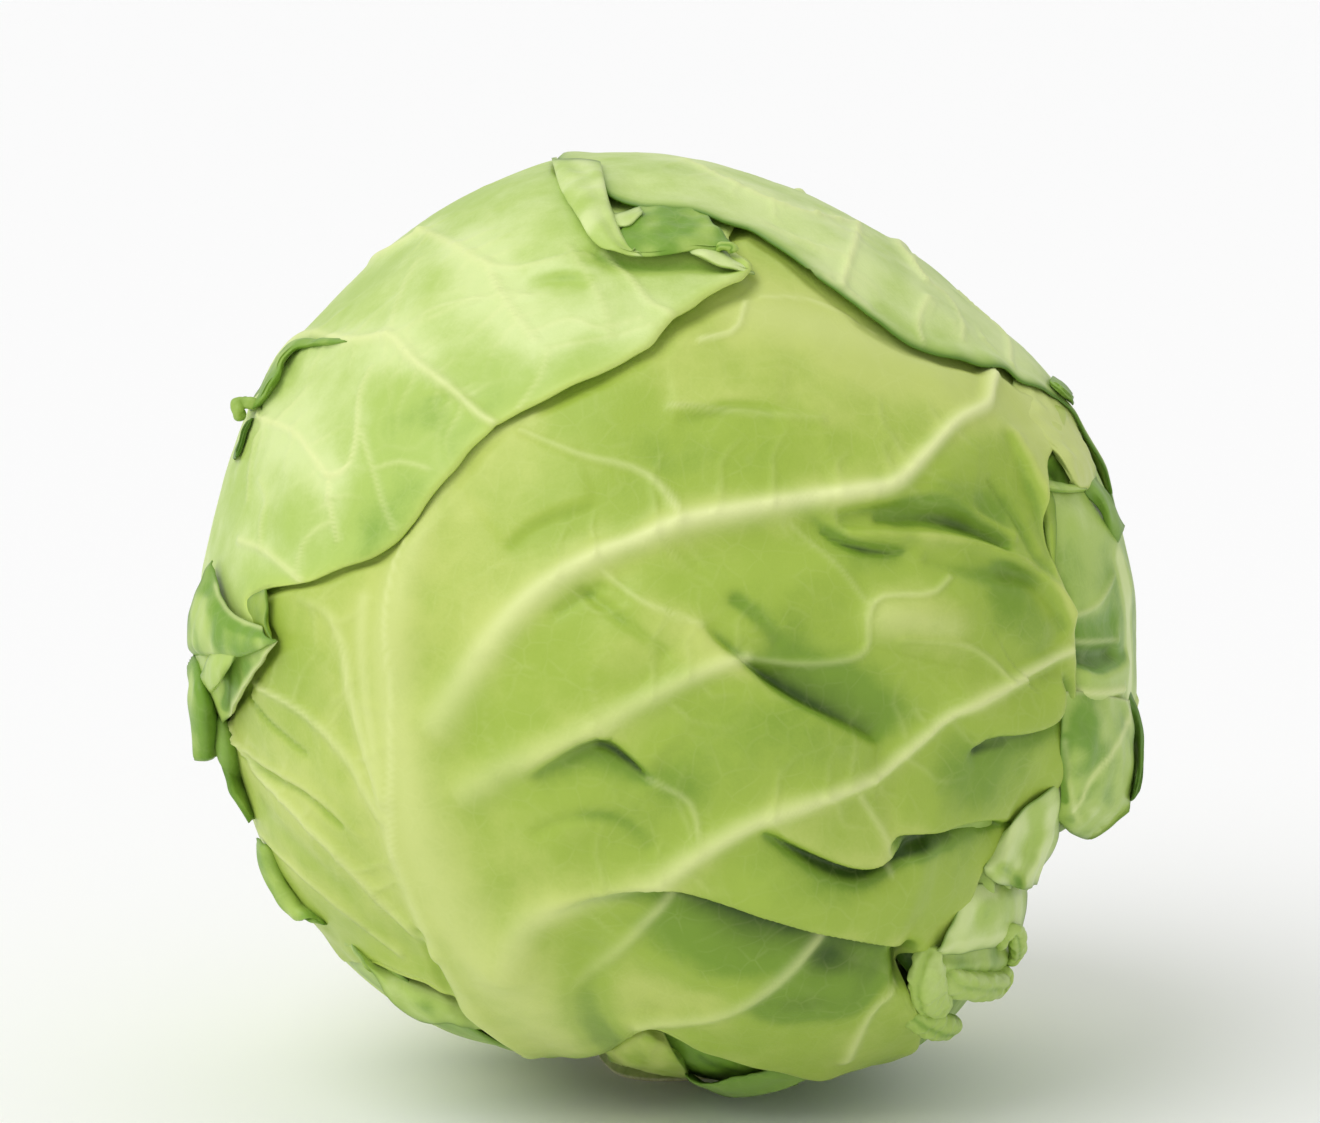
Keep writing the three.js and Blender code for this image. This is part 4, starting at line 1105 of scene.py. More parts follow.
def front_leaf_lines(draw):
    """The front leaf: a broad midrib, ribs that branch from it, and folds towards the right."""
    vein, swell, fold = draw.draw_vein, draw.draw_swell, draw.draw_fold
    # The midrib, broad and smooth, with the ridge along its left side.
    vein(
        [
            (-21, -82.6), (-26.6, -76.2), (-33.4, -68.2), (-41.4, -57), (-47, -44.6), (-50.6, -30.6),
            (-53, -14.6), (-53.8, -2.6), (-52.6, 7.4), (-49.4, 18.4), (-45, 29.4), (-39, 37.4),
            (-27, 42.4),
        ],
        (15, 13, 9, 6.5, 4.5, 3.2, 2), (1.6, 3.4, 2.8, 2.2, 1.5, 1, 0.4), 0.3,
    )
    vein(
        [
            (-27, -83.8), (-33.6, -78.2), (-40.6, -69.6), (-46.6, -58.6), (-52.6, -44.6), (-55.8, -30.6),
            (-58.8, -14.6), (-59.8, 5.4),
        ],
        (4, 3, 2), (1.0, 1.2, 0.8, 0.4), 0.35,
    )
    # A trough beside the midrib, drawn darker as painted shade.
    swell([(-29, -83.8), (-36.2, -78.6), (-42, -72.6), (-48, -60.6)], 1.6, -1.6, 0.35)
    vein(
        [(-53, -44.6), (-53.4, -26.6), (-53.8, -10.6), (-54.6, 5.4), (-52.2, 17.4)],
        (1.6, 1), (0.3, 0.3), 0.55,
    )
    # Side veins to the left.
    vein(
        [(-73, 5.8), (-67.4, 3), (-64.2, -3.6), (-62.6, -12.6), (-59.8, -22.6), (-55, -33.6)],
        (0.9, 1.6, 1.8), (0.4, 0.9), (0.1, 0.55, 0.4),
    )
    vein(
        [(-83.8, -10.6), (-76, -14.6), (-68.6, -20.2), (-62.6, -27), (-56, -37)],
        (0.6, 1.2, 1.8), (0.6, 0.9), (0.7, 0.5, 0.3),
    )
    vein(
        [(-87.4, -18.2), (-84, -25.6), (-76.6, -34), (-67, -43.8), (-57, -53.8), (-45, -63.6)],
        (0.7, 1.3, 2), (0.7, 1.1), (0.6, 0.5, 0.3),
    )
    vein(
        [(-85.8, -22.2), (-80.6, -27), (-73, -31.6), (-66.6, -36.2), (-61, -42.2)],
        (0.6, 0.8), (0.7, 0.4), (0.5, 0.3, 0.1),
    )
    vein([(-81.4, -40.2), (-75, -47), (-65, -55.6), (-53, -64.6)], (0.8, 1.4), (0.5, 0.8), (0.4, 0.3))
    # Troughs beside these veins, drawn darker as painted shade.
    swell([(-84.2, -12.6), (-80.6, -17.6), (-76, -22.2), (-72, -25.6)], 0.7, -0.7, (0.7, 0.2))
    swell([(-85, -25), (-79, -29.8), (-72, -33.8), (-65, -39.8)], 0.8, -0.7, 0.35)
    swell([(-80.6, -36.6), (-73, -44.6), (-64, -52.6)], 3, -0.6, 0.1)
    # Side veins to the right, from the top down.
    vein(
        [
            (-45, -18.6), (-37, -6.6), (-27, 5.4), (-15, 13.4), (-5, 17.4), (4, 21), (19, 23.8), (37, 27),
            (45, 29), (51, 34.4), (57, 40.4), (63, 43.8), (64.6, 48.4), (65.4, 51.8),
        ],
        (4.5, 3.2, 2.3, 2.5, 1.9, 1.5, 1.4, 1.7), (1.8, 2.2, 2.2, 2.4, 1.8, 1.5, 1.6, 2.0),
        (0.4, 0.75, 0.95, 1, 1, 1, 1),
    )
    vein(
        [(-29, 39.4), (-17, 34.4), (-5, 31.4), (1.4, 25.4), (3, 21)],
        (0.8, 1, 1.2), (0.4, 0.5, 0.7), (0.2, 0.4, 0.7),
    )
    vein(
        [(-39, -32.6), (-29, -26.6), (-15, -19.6), (-3, -13.6), (7, -9), (16, -6.2)],
        (4, 2.4, 1.6), (1.5, 1.3, 1.2), (0.3, 0.45, 0.6),
    )
    vein(
        [(16, -6.2), (27, -7.4), (37, -6.4), (40.2, -3.6), (40, 1.8), (42.6, 6), (52, 6.6), (56.6, 10)],
        (0.9, 0.8, 0.7), (0.6, 0.5, 0.4), (0.25, 0.3, 0.45, 0.3),
    )
    vein(
        [
            (-31, -66.6), (-28, -59.6), (-21, -55.6), (-9, -51.6), (-1, -48.2), (7, -43.6), (17, -38.2),
            (27, -34.2), (37, -31), (43, -28.6), (50, -22.6), (57, -16.6), (67, -11.6), (80, -4.6),
        ],
        (5, 3.4, 2.4, 2, 1.7, 1.4, 1.1), (1.8, 1.7, 1.7, 1.5, 1.2), (0.35, 0.5, 0.7, 0.75, 0.8, 0.8),
    )
    vein(
        [(-25, -75.6), (-17, -70.2), (-9, -63.6), (-3, -57.6), (1.8, -53)],
        (2.4, 1.8, 1.2), (0.1, 0.9, 0.6), (0, 0.3, 0.5),
    )
    vein([(-5, -78.6), (9, -77.6), (19, -72.6), (27, -66.6), (32, -62)], (2, 1.4), (1, 0.7), (0.4, 0.6))
    vein([(36, -86.6), (38, -82.6), (41, -76.6), (46, -71.6)], (1.4, 1), (0.8, 0.5), (0.6, 0.5))
    vein([(47, -2.6), (59, -3.6), (65, -7), (68.2, -10.6)], 0.8, 0.7, (0.1, 0.35))
    vein([(1, 44.4), (19, 42.4), (31, 41)], 0.8, 0.5, (0.3, 0.1))
    vein([(7, 57.4), (14, 59.4), (16, 65.4)], 0.8, 0.4, 0.6)
    vein([(19, 65.8), (29, 65.4), (43, 59.4)], 0.7, 0.3, 0.4)
    vein([(21, 23.8), (27, 19), (35, 11.4), (40.2, 4.2)], 0.7, 0.3, 0.2)
    vein([(-15, 13.4), (-5, 5.4), (7, 0.4)], 0.7, 0.3, 0.3)
    vein([(7, -43.6), (5, -34.6), (-3, -29.6)], 0.8, 0.3, 0.3)
    vein([(37, -31), (43, -40.6), (45, -48.6)], 0.8, 0.3, 0.35)
    # Folds and pockets, the raised side on the left of each path; each paints shade below its lip and a
    # paler, lit crest above it.
    fold(
        [
            (-25, -56.2), (-13, -53.6), (-5, -52.4), (2, -53.2), (15, -57.2), (31, -61.8), (41, -63.8),
            (48, -64.6),
        ],
        (1.2, 2.4, 3.2, 3.0), 18, 1.0, 1.0,
    )
    fold(
        [(-29, -31), (-21, -26), (-13.4, -22.6), (-8.6, -24.6), (-2, -30.4)],
        (0.8, 2, 2.2, 1.2), 12, 0.8, 0.6,
    )
    fold([(44, -23.6), (37, -19.4), (25, -13), (16, -6.6), (5, 2.2)], (1, 2.0, 2.4, 1.2), 14, 0.9, 0.8)
    fold(
        [(17, -38.2), (25, -43), (31, -46.2), (37, -48.2), (41.4, -48.2), (45.4, -46.4), (49, -43.4)],
        (0.8, 2.0, 2.2, 0.8), 9, 1.3, 0.7,
    )
    # Painted shade in the S-shaped crease under the fold above, with a trough of real depth.
    swell(
        [(19.8, -40.6), (27, -44.6), (34, -47.8), (39.4, -48.6), (43.8, -47), (48, -44.2), (52, -43)],
        (0.8, 1.3, 1.5, 1.0), (-0.6, -1.8, -1.4), (0.5, 1.5, 1.7, 1.0),
    )
    fold(
        [(42.6, -42.2), (48, -42.2), (53, -42), (59, -40.4), (64, -39.6), (69, -39.4)],
        (1, 3.0, 2.8, 1.0), 10, 1.4, 1.0,
    )
    fold(
        [(59, -25.6), (64, -22.6), (70.4, -22.2), (76.4, -20.4), (79.2, -15.6), (79, -7.6)],
        (1, 2.0, 2.4, 1.6), 9, 1.2, 0.9,
    )
    fold(
        [(28.2, 23.8), (32.6, 20.2), (36.6, 17.4), (42, 16), (51, 15.8)],
        (0.6, 1.4, 1.6, 0.8), 8, 0.8, 0.5,
    )
    fold([(33, 23), (41, 24.2), (53, 25.4), (64, 21.4)], (1, 1.6, 1.2), 9, 0.9, 0.6)
    fold([(64, 13.4), (73, 11), (77.4, 5.4), (80.2, -2.6)], (0.6, 1.4, 1), 8, 0.6, 0.4)
    fold([(1, 42.4), (7, 43), (15, 44.4), (25, 42.4)], (0.6, 1, 0.6), 8, 0.6, 0.4)
    fold([(-33, 15.4), (-25, 21.4), (-13, 25.4)], (0.5, 0.8, 0.5), 10, 0.5, 0.3)
    fold([(67, 40.4), (71, 31.4), (75, 21.4), (77.8, 10.4)], (0.8, 1.6, 1.4), 8, 0.8, 0.5)
    # Broad swells between the veins, and troughs, some drawn darker as painted shade and some ridges
    # paler as painted light.
    swell([(-25, -14.6), (-9, -4.6), (7, 5.4)], 11, 1.0)
    swell([(-13, -34.6), (7, -26.6), (27, -22.6)], 10, 1.4, 0.05)
    swell([(17, 35.4), (37, 37.4), (55, 45.4)], 12, 1.0)
    swell([(23, 3.4), (37, 11.4)], 7, 0.8, 0.1)
    swell(
        [(37, 19.2), (47, 18.6), (59, 17.2), (69, 14.2), (75, 9.4), (79.8, 3)],
        (1.0, 1.6), (0.8, 1.6, 1.2), (-0.2, -0.45),
    )
    swell([(43, 22), (53, 22), (62, 19.8), (68, 16.4)], (1.2, 1.6, 1.0), -1.2, (0.4, 0.8, 0.5))
    swell([(40.6, 25.4), (53, 25), (62, 22.6), (69.4, 18.4)], (0.9, 1.2), 0.9, (-0.1, -0.35))
    swell([(53, 13.4), (62, 10.6), (73.8, 9.8)], (1.4, 1.8), -0.7, (0.2, 0.2))
    swell([(65, 29.4), (70.6, 21.4), (73.8, 14.4), (76.6, 11)], (1.0, 1.6), -0.8, (0.1, 0.4))
    swell([(47, 3.4), (63, 7.4), (75, 1.4)], 5, 1.1)
    swell([(59, -14.6), (69, -18.6), (77, -14.6)], 4, 1.0)
    swell([(25, -9), (35, -11.6), (46, -17.6)], 6, -0.6, 0.25)
    swell([(7, 13.4), (25, 17.4), (37, 21.4)], 5, -0.9, 0.04)
    swell([(-5, 31.4), (15, 31.4), (35, 31.4)], 6, -0.5, 0.05)
    swell([(5, -34.6), (-13, -44.6)], 6, -0.7, 0.06)
    swell([(23, -50.6), (43, -55.6), (55, -54.6)], 6, 1.2)
    swell([(5, -66.6), (23, -74.6), (37, -74.6)], 6, 0.9, 0.12)
    swell([(55, 31.4), (67, 37.4), (71, 33.4)], 5, 1.0)
    # Painted shade in the hole where the leaf parts, with a deep trough.
    swell([(48, -65.6), (48, -69.6)], 2.4, -5, 1.5)
    # Greener towards the right and paler by the midrib; raised tone in the hollows and creases is painted
    # shade, and lowered tone on crests is painted light.
    swell([(25, -8.2), (35, -12.6), (43, -19)], 5, -0.6, 0.3)
    # Painted shade in the wedge between two folds and in the creases beside folds.
    swell([(47, -45.2), (51.4, -44.2), (57, -42.8)], 1.6, 0, (0.7, 0.9, 0.4))
    swell([(62.2, -24.4), (64.6, -24), (68.2, -23.6)], (1.2, 0.9), 0, (0.8, 0.3))
    swell([(-13, -23.4), (-8, -25.6), (-3, -29.8)], 0.7, -0.6, (0.5, 0.9, 0.5))
    swell([(64, -40.2), (69, -39.4)], 0.9, -0.6, 0.9)
    swell([(27, 24.4), (33, 21.8), (40.2, 18.6), (49, 17.4)], 2.2, -0.5, 0.3)
    swell([(43, 27.4), (55, 27.8), (67, 22.4)], 3, -0.6, 0.3)
    swell([(41, 13.4), (55, 10.4), (69, 9.4)], 4, -0.3, 0.15)
    swell([(47, 21.4), (57, 21.4), (67, 17.4)], 2.5, -0.8, 0.3)
    swell([(68, 5.4), (75, -0.6), (75, -4.6)], 5, 0, 0.3)
    swell([(-15, -23.6), (-5, -27.6), (5, -31.6)], 4, 0, 0.3)
    swell([(5, -14.6), (23, -18.6), (37, -26.6)], 9, 0, 0.25)
    swell([(-13, 5.4), (-1, 7.4), (15, 5.4)], 6, 0, 0.1)
    swell([(5, 17.4), (19, 19.4), (27, 17.4)], 5, 0, 0.12)
    swell([(11, 1.4), (19, -2.6), (27, -2.6)], 6, 0, 0.08)
    swell([(-1, -60.6), (15, -64.6), (27, -69.6)], 7, 0, 0.35)
    swell([(7, -55.6), (19, -60.6), (33, -65.6)], 4, -0.6, 0.35)
    swell([(33, -66.6), (43, -68.6)], 4, -0.8, 0.7)
    swell([(21, -75.6), (29, -76.2), (37, -74.6)], 5, -0.5, 0.55)
    swell([(-5, -71.6), (7, -73.6), (19, -69.6)], 4, 0, -0.2)
    swell([(53, -26.6), (63, -32.6), (59, -38.6)], 8, 0, 0.25)
    swell([(15, -44.6), (27, -50.6)], 5, 0, 0.12)
    swell([(65, 39.4), (71, 31.4), (75, 21.4)], 6, 0, -0.15)
    swell([(41, 53.4), (55, 47.4)], 6, 0, -0.2)
    swell([(-9, -2.6), (7, -2.6), (15, -5.6)], 6, 0.8, -0.25)
    swell([(43, 1.4), (50, 2.2), (57, 1)], (5, 6), 1.1, -0.2)
    vein([(43.4, 1.8), (48, 1.4), (56, -0.2)], (4.0, 3.4), 0.3, (0.3, 0.2))
    # Painted shade on the petiole's lower end, which faces down, and along its foot.
    swell([(-15, -64.6), (-15.4, -75.6), (-11.8, -82.6)], 4, -1.2, (0.3, 0.6, 0.9))
    swell([(-29, -85), (-21, -85.8), (-11, -84.6)], 3, 0, 0.5)
    swell([(69, 48.4), (73, 43.4), (75, 37.4)], 7, 0, -0.6)
    for k, path in enumerate((
        [
            (-39, -8.6), (-27, 5.4), (-15, 13.4), (-5, 17.4), (4, 21), (19, 23.8), (37, 27), (45, 29),
            (51, 34.4), (57, 40.4),
        ],
        [(-33, -29.6), (-15, -19.6), (-3, -13.6), (7, -9), (16, -6.2)],
        [
            (-21, -55.6), (-9, -51.6), (-1, -48.2), (7, -43.6), (17, -38.2), (27, -34.2), (37, -31),
            (43, -28.6), (50, -22.6), (57, -16.6), (67, -11.6),
        ],
        [(-71, 5.4), (-66, 1.4), (-63, -4.6), (-61, -12.6), (-58, -22.6)], [
            (-83.4, -10.6), (-73, -15.6), (-65, -21.6), (-59, -29.6),
        ],
        [(-87.4, -18.2), (-83, -28.6), (-73, -36.6), (-63, -46.6), (-53, -55.6)],
    )):
        draw.draw_side_veins(path, 11, 12, 30 + k, 0.16)
    swell([(19, 65.4), (39, 57.4), (55, 53.4)], 11, 0, -0.4)
    vein([(17, 63.4), (39, 58.4), (53, 54.4)], 7, 0, 0.22)
    vein([(71, 48.4), (74, 43.4), (76, 37.4)], 4, 0, 0.25)
    swell(
        [(32.2, 19.4), (35.4, 17.2), (39.4, 15.6), (44.6, 15), (47.8, 15.2)],
        (0.5, 0.7, 0.5), -0.5, (0.4, 0.8, 0.3),
    )
    swell([(-29, 37.4), (-39, 27.4), (-45, 13.4)], 7, 0, -0.12)
    swell([(-16, 7), (-9, 1.8), (0, -5)], 1.2, -0.8, (0.1, 0.35, 0.1))
    swell([(-21, 3), (-17, 5.8), (-13, 7.8)], 1.2, -0.6, 0.25)
    swell([(14, 5.4), (19, 1.4), (22, -2.6)], 1.6, -0.8, (0.5, 0.2))
    swell([(-25, -40.6), (-17, -37), (-9, -37.6), (-3.4, -42.6)], 1.4, -0.5, (0.1, 0.3, 0.1))
    swell([(-5, 5.4), (5, 1), (14, -2.6)], 3, 0.9, -0.1)
    swell([(-13, 43.4), (3, 37.4), (19, 35.4)], 8, 0, 0.2)
    swell([(-21, 25.4), (-5, 25.4)], 6, 0, 0.12)
    swell([(-37, 1.4), (-25, 7.4), (-5, 13.4)], 8, 0, -0.1)
    swell([(-21, -54.6), (-9, -55.6), (-3, -54.6)], 3, 0.5, -0.15)
    swell([(-25, -66.6), (-13, -74.6), (7, -78.6)], 8, 0.4, -0.1)
    swell([(67, 5.4), (71, -14.6), (63, -32.6)], 12, 0, 0.17)
    swell([(43, -2.6), (55, -14.6), (59, -28.6)], 9, 0, 0.15)
    swell([(19, 5.4), (33, 5.4), (39, -2.6)], 8, 0, 0.08)
    swell([(19, -50.6), (39, -56.6), (57, -52.6)], 9, 0, 0.12)
    swell([(7, -60.6), (19, -64.6), (37, -72.6)], 9, 0, 0.3)
    swell([(-21, -40.6), (7, -34.6)], 10, 0, 0.12)
    swell([(43, 31.4), (59, 27.4), (71, 19.4)], 9, 0, 0.1)
    swell([(-21, -4.6), (-5, -2.6), (7, 5.4)], 9, 0, 0.1)
    swell([(-25, -78.6), (-41, -54.6), (-53, -30.6), (-57, 1.4)], 10, 0, -0.2)
    swell([(-73, -34.6), (-65, -54.6), (-49, -70.6)], 9, 0, -0.12)


def left_leaf_lines(draw):
    """The left leaf: a rib that comes round from the back, and a net of fine veins."""
    vein, swell, fold = draw.draw_vein, draw.draw_swell, draw.draw_fold
    vein(
        around([(-142, -72), (-134, -60), (-132, -36), (-130, -10), (-126, 20), (-118, 46)]),
        (10, 6, 3.4, 2.4, 1.8), (3.6, 2.8, 2, 1.2), (0.3, 0.6, 0.7),
    )
    draw.draw_side_veins(
        around([(-134, -60), (-132, -36), (-130, -10), (-128, 4)]),
        24, 42, 72, 0.8, (1.8, 0.9), (1.4, 0.4),
    )
    fold(around([(-138, 2), (-146, 10), (-156, 8)]), (0.5, 1.3, 0.5), 9, 0.8, 0.6)
    vein(
        np.concatenate([
            around([(-126, 14), (-108, 25)]),
            front([
                (-73, 57.4), (-64, 57), (-54.6, 57.4), (-50, 53), (-43, 47.8), (-37, 42.4), (-34, 40.4),
            ]),
        ]),
        (2.4, 1.3, 0.9), (1.3, 1.1, 0.8), (0.5, 0.7, 0.7, 0.75),
    )
    vein([(-54.6, 57.8), (-47, 61), (-37, 65.4), (-27, 66.2)], 0.8, 0.4, 0.3)
    vein(
        [(-49, 79), (-41, 75), (-35.4, 71.8), (-27, 71.8), (-15, 74.2)],
        (1.1, 0.8), 0.6, (0.7, 0.5, 0.2),
    )
    vein(
        np.concatenate([around([(-119, 44)]), front([(-57, 74.4), (-49, 79)])]),
        (2, 1.3), (1, 0.7), (0.6, 0.7),
    )
    vein([(-35.4, 71.8), (-33, 67), (-29.8, 62.4), (-26, 57)], (0.9, 0.7), 0.5, (0.6, 0.5))
    vein([(-12.2, 75), (-6.6, 69), (-3, 64.4), (1.4, 61)], 0.8, 0.5, 0.45)
    vein([(-23.4, 55.4), (-13, 57.4), (-3, 59.4)], 0.7, 0.35, 0.3)
    vein(
        [
            (-80.6, 41.4), (-74, 39), (-70, 34.4), (-66.6, 30.2), (-63, 32.2), (-61.4, 38.2), (-61, 46.4),
            (-58.6, 51.8),
        ],
        0.8, 0.5, (0.7, 0.85, 0.4),
    )
    vein([(-66.6, 30.2), (-66.8, 25.4), (-65.4, 17.4)], 0.8, 0.5, (0.85, 0.5))
    vein([(-85, 17.4), (-80.6, 15.8), (-76, 12.4), (-72.6, 9.4)], 1.0, 0.5, (0.5, 0.7))
    vein([(-80.6, 15.8), (-80.6, 21.4), (-79.4, 25.4), (-80.6, 29.4)], 0.8, 0.4, (0.5, 0.2))
    vein([(-73.4, 10.4), (-73, 14.4), (-71, 18.4), (-67, 21)], 0.7, 0.3, 0.4)
    vein([(-60.6, 39.4), (-58.2, 31.4), (-56.2, 24.4), (-53.8, 19.4)], 0.7, 0.3, (0.45, 0.3))
    vein([(-58.2, 31.4), (-53, 33), (-47, 31.4)], 0.7, 0.3, 0.35)
    vein([(-79, 41.4), (-82, 35.4), (-83, 25.4)], 0.8, 0.35, 0.35)
    vein([(-50, 53), (-50.6, 59.4), (-45, 63.4), (-37, 65.4)], 0.7, 0.3, 0.35)
    vein([(-27, 58.4), (-19, 61.4), (-13, 59.4), (-5, 61.4)], 0.7, 0.3, 0.35)
    vein([(-19, 75.4), (-13, 65.4), (-11, 57.4)], 0.7, 0.3, 0.3)
    vein([(-23.4, 55.4), (-25, 49.4), (-29, 43.4)], 0.7, 0.3, 0.35)
    draw.draw_side_veins(
        [(-73, 57.4), (-64, 57), (-54.6, 57.4), (-50, 53), (-43, 47.8), (-37, 42.4)],
        7, 10, 51, 0.35,
    )
    draw.draw_side_veins([(-49, 79), (-41, 75.4), (-35, 71.8), (-32, 63.4), (-27, 58.4)], 8, 10, 52, 0.35)
    draw.draw_side_veins(
        [(-79, 41.4), (-73, 39.4), (-69.4, 34.4), (-67, 30.4), (-66.6, 25.4)],
        8, 9, 53, 0.35,
    )
    vein([(-54.6, 57.4), (-53, 65.4), (-49, 73.4)], 0.8, 0.3, 0.3)
    fold([(-29, 69), (-21, 70.4), (-13, 69.4)], (0.5, 1.2, 0.6), 8, 0.6, 0.4)
    fold([(-65, 57.8), (-73, 55), (-76, 52.2), (-78, 48.4), (-82, 44.6)], (1, 2.4, 2.6), 7, 1.0, 1.0)
    fold([(-49, 45.8), (-43, 47), (-38, 45)], (0.3, 0.6, 0.3), 5, 0.5, 0.3)
    swell([(-73, 31.4), (-75, 21.4)], 6, 0.8)
    swell([(-45, 37.4), (-49, 29.4)], 6, 0.6)
    swell([(-47, 67.4), (-29, 79.4)], 12, 0.8, -0.12)
    swell([(-21, 65.4), (-5, 65.4)], 8, 0, -0.1)
    # A trough with painted shadow under the crown's folded corner.
    swell([(-13, 74.2), (-5, 72.2), (7, 72.6), (14, 71)], 2.2, -1.0, 0.5)
    swell([(-13, 65.4), (-1, 67.4)], 7, 0.6)
    swell([(-39, 43.4), (-45, 31.4), (-57, 16.4)], 9, 0, 0.35)
    swell([(-57, 39.4), (-61, 25.4), (-73, 16.4)], 9, 0, 0.25)
    swell([(-53, 47.4), (-43, 39.4)], 5, 0, 0.12)
    swell([(-49, 16.4), (-57, 13), (-73, 8.2), (-81, 7)], 2.5, 0, 0.3)
    swell([(-13, 55.4), (-21, 49.4), (-33, 43.4)], 5, 0, 0.15)
    swell([(17.4, 71.8), (15, 68.4), (7, 65), (1.4, 61.8), (-5, 56.4)], 3, (1.2, 1.6, 1.2, 0.4))
    swell([(-73, 41.4), (-81, 29.4), (-85, 17.4)], 9, 0.3, -0.1)


def back_leaf_lines(draw):
    """The leaf at the back and over the top: a branching rib, folds and fine veins."""
    vein, swell, fold = draw.draw_vein, draw.draw_swell, draw.draw_fold
    vein(
        around([(165, -72), (165, -56), (166, -20), (163, 20), (155, 50), (120, 70)]),
        (10, 6, 3.4, 2.2, 1.4), (3.6, 2.8, 2, 1.2), (0.3, 0.6, 0.7),
    )
    draw.draw_side_veins(
        around([(165, -66), (165, -50), (166, -20), (163, 20), (160, 44)]),
        27, 64, 71, 0.85, (2.0, 1.0), (1.6, 0.5),
    )
    vein(
        np.concatenate([around([(160, 34), (125, 50)]), front([(47, 77.4), (49.4, 73), (52, 69)])]),
        (2, 1), (1.2, 0.6), (0.6, 0.75),
    )
    for k, path in enumerate(([(150, -50), (146, -20), (130, 8)], [(-172, -50), (-170, -20), (-160, 14)],
                              [(120, -30), (112, -8), (104, 14)], [(140, 10), (132, 34), (110, 46)])):
        swell(around(path), (5, 8, 5), (0.3, 1.2, 0.4) if k % 2 else (-0.3, -1.2, -0.3), (0, 0.2, 0))
    fold(around([(140, -22), (132, -12), (122, -8), (114, -10)]), (0.6, 1.6, 0.8), 9, 0.8, 0.6)
    fold(around([(-176, -8), (176, 0), (170, -2)]), (0.5, 1.2, 0.5), 9, 0.8, 0.6)
    vein([(38.6, 80.4), (36.6, 73), (35, 67.4)], 0.9, 0.5, 0.7)
    vein([(35, 67.4), (41, 63.4)], 0.7, 0.4, 0.5)
    vein([(52, 65.4), (50.6, 61.4), (51, 56.4)], 0.8, 0.4, 0.6)
    vein([(52, 69), (57, 65.4), (59, 57.4)], 0.7, 0.4, 0.5)
    vein([(3, 93.4), (15, 87.4), (27, 82.4), (38.6, 80.4)], 0.9, 0.5, 0.6)
    vein([(59, 67.4), (67, 59.4), (69, 52.4)], 0.9, 0.5, 0.55)
    vein([(36.6, 73), (27, 77.4), (19, 81)], 0.7, 0.4, 0.4)
    vein([(52, 69), (49.4, 73), (52, 77.4)], 0.7, 0.3, 0.4)
    vein([(27, 71.4), (35, 67.4)], 0.7, 0.3, 0.4)
    draw.draw_side_veins([(3, 93.4), (15, 87.4), (27, 82.4), (38.6, 80.4)], 8, 9, 61, 0.3)
    draw.draw_side_veins([(38.6, 80.4), (36.6, 73), (35, 67.4)], 8, 9, 62, 0.3)
    draw.draw_side_veins([(52, 65.4), (59, 59.4), (67, 56.4)], 8, 7, 63, 0.3)
    swell([(21, 85.4), (43, 71.4), (59, 59.4)], 6, 0.7)
    swell([(-5, 90.4), (11, 88.4)], 5, 0.5)
    swell([(43, 63.4), (53, 55.4), (64, 52.4)], 3, 0, 0.2)


def right_leaf_lines(draw):
    """The leaf at the right: a rib at its back, and hollows beside the front leaf's edge, drawn darker as
    painted shade.
    """
    vein, swell, fold = draw.draw_vein, draw.draw_swell, draw.draw_fold
    vein(around([(124, -58), (108, -20), (92, 22)]), (5, 2.5, 1.4), (1.8, 1.2, 0.6), (0.5, 0.8))
    vein([(79, -12.6), (84, -13.4), (91, -12.6)], 0.9, 0.7, 0.7)
    vein([(82, -37), (87, -29.6), (89.4, -26.6), (92, -20.6), (94.2, -14.6)], (1, 0.9), 0.8, 0.8)
    vein([(84, -23.6), (87, -29.6)], 0.7, 0.5, 0.6)
    vein([(80.2, 1.8), (84, 3), (87, 5.4), (89.4, 10.4)], 0.7, 0.5, (0.5, 0.3))
    vein([(79.8, -2.8), (85, -3), (90.6, -2.6)], 0.7, 0.5, (0.5, 0.3))
    fold([(93, -4.6), (90.2, -7), (85.8, -8.4), (81.8, -6.6), (79, -3.8)], (1, 1.8, 1.4), 6, 0.4, 0.5)
    # Painted shade in the pocket under the front leaf's corner, under the fold and along the front leaf's
    # edge.
    swell([(76.2, 32.6), (79, 30.6)], 2.4, -1.5, 1.1)
    swell([(81, -4.6), (85, -5.6), (89.8, -5)], 2.2, -1.6, (0.8, 0.6))
    swell([(81.4, 0.2), (86, 0.2), (89.4, 1.4)], 2.6, -0.8, 0.3)
    swell([(84, 17.4), (86, 7.4)], 6, 0, -0.12)
    swell([(90.2, 13.4), (92.6, 1.4), (92.6, -12.6)], 3.2, 0, -0.9)
    swell([(79, 25.4), (85, 21.4)], 5, 0, -0.3)
    swell([(84, -22.6), (89, -34.6), (87, -39.6)], 6, 1.6, -0.15)
    swell([(82, 21.4), (89, 17.4), (92, 9.4)], 4, 1.0)
    swell([(79, 5.4), (79.4, -14.6), (79, -30.6)], 3, -2.4, 0.35)


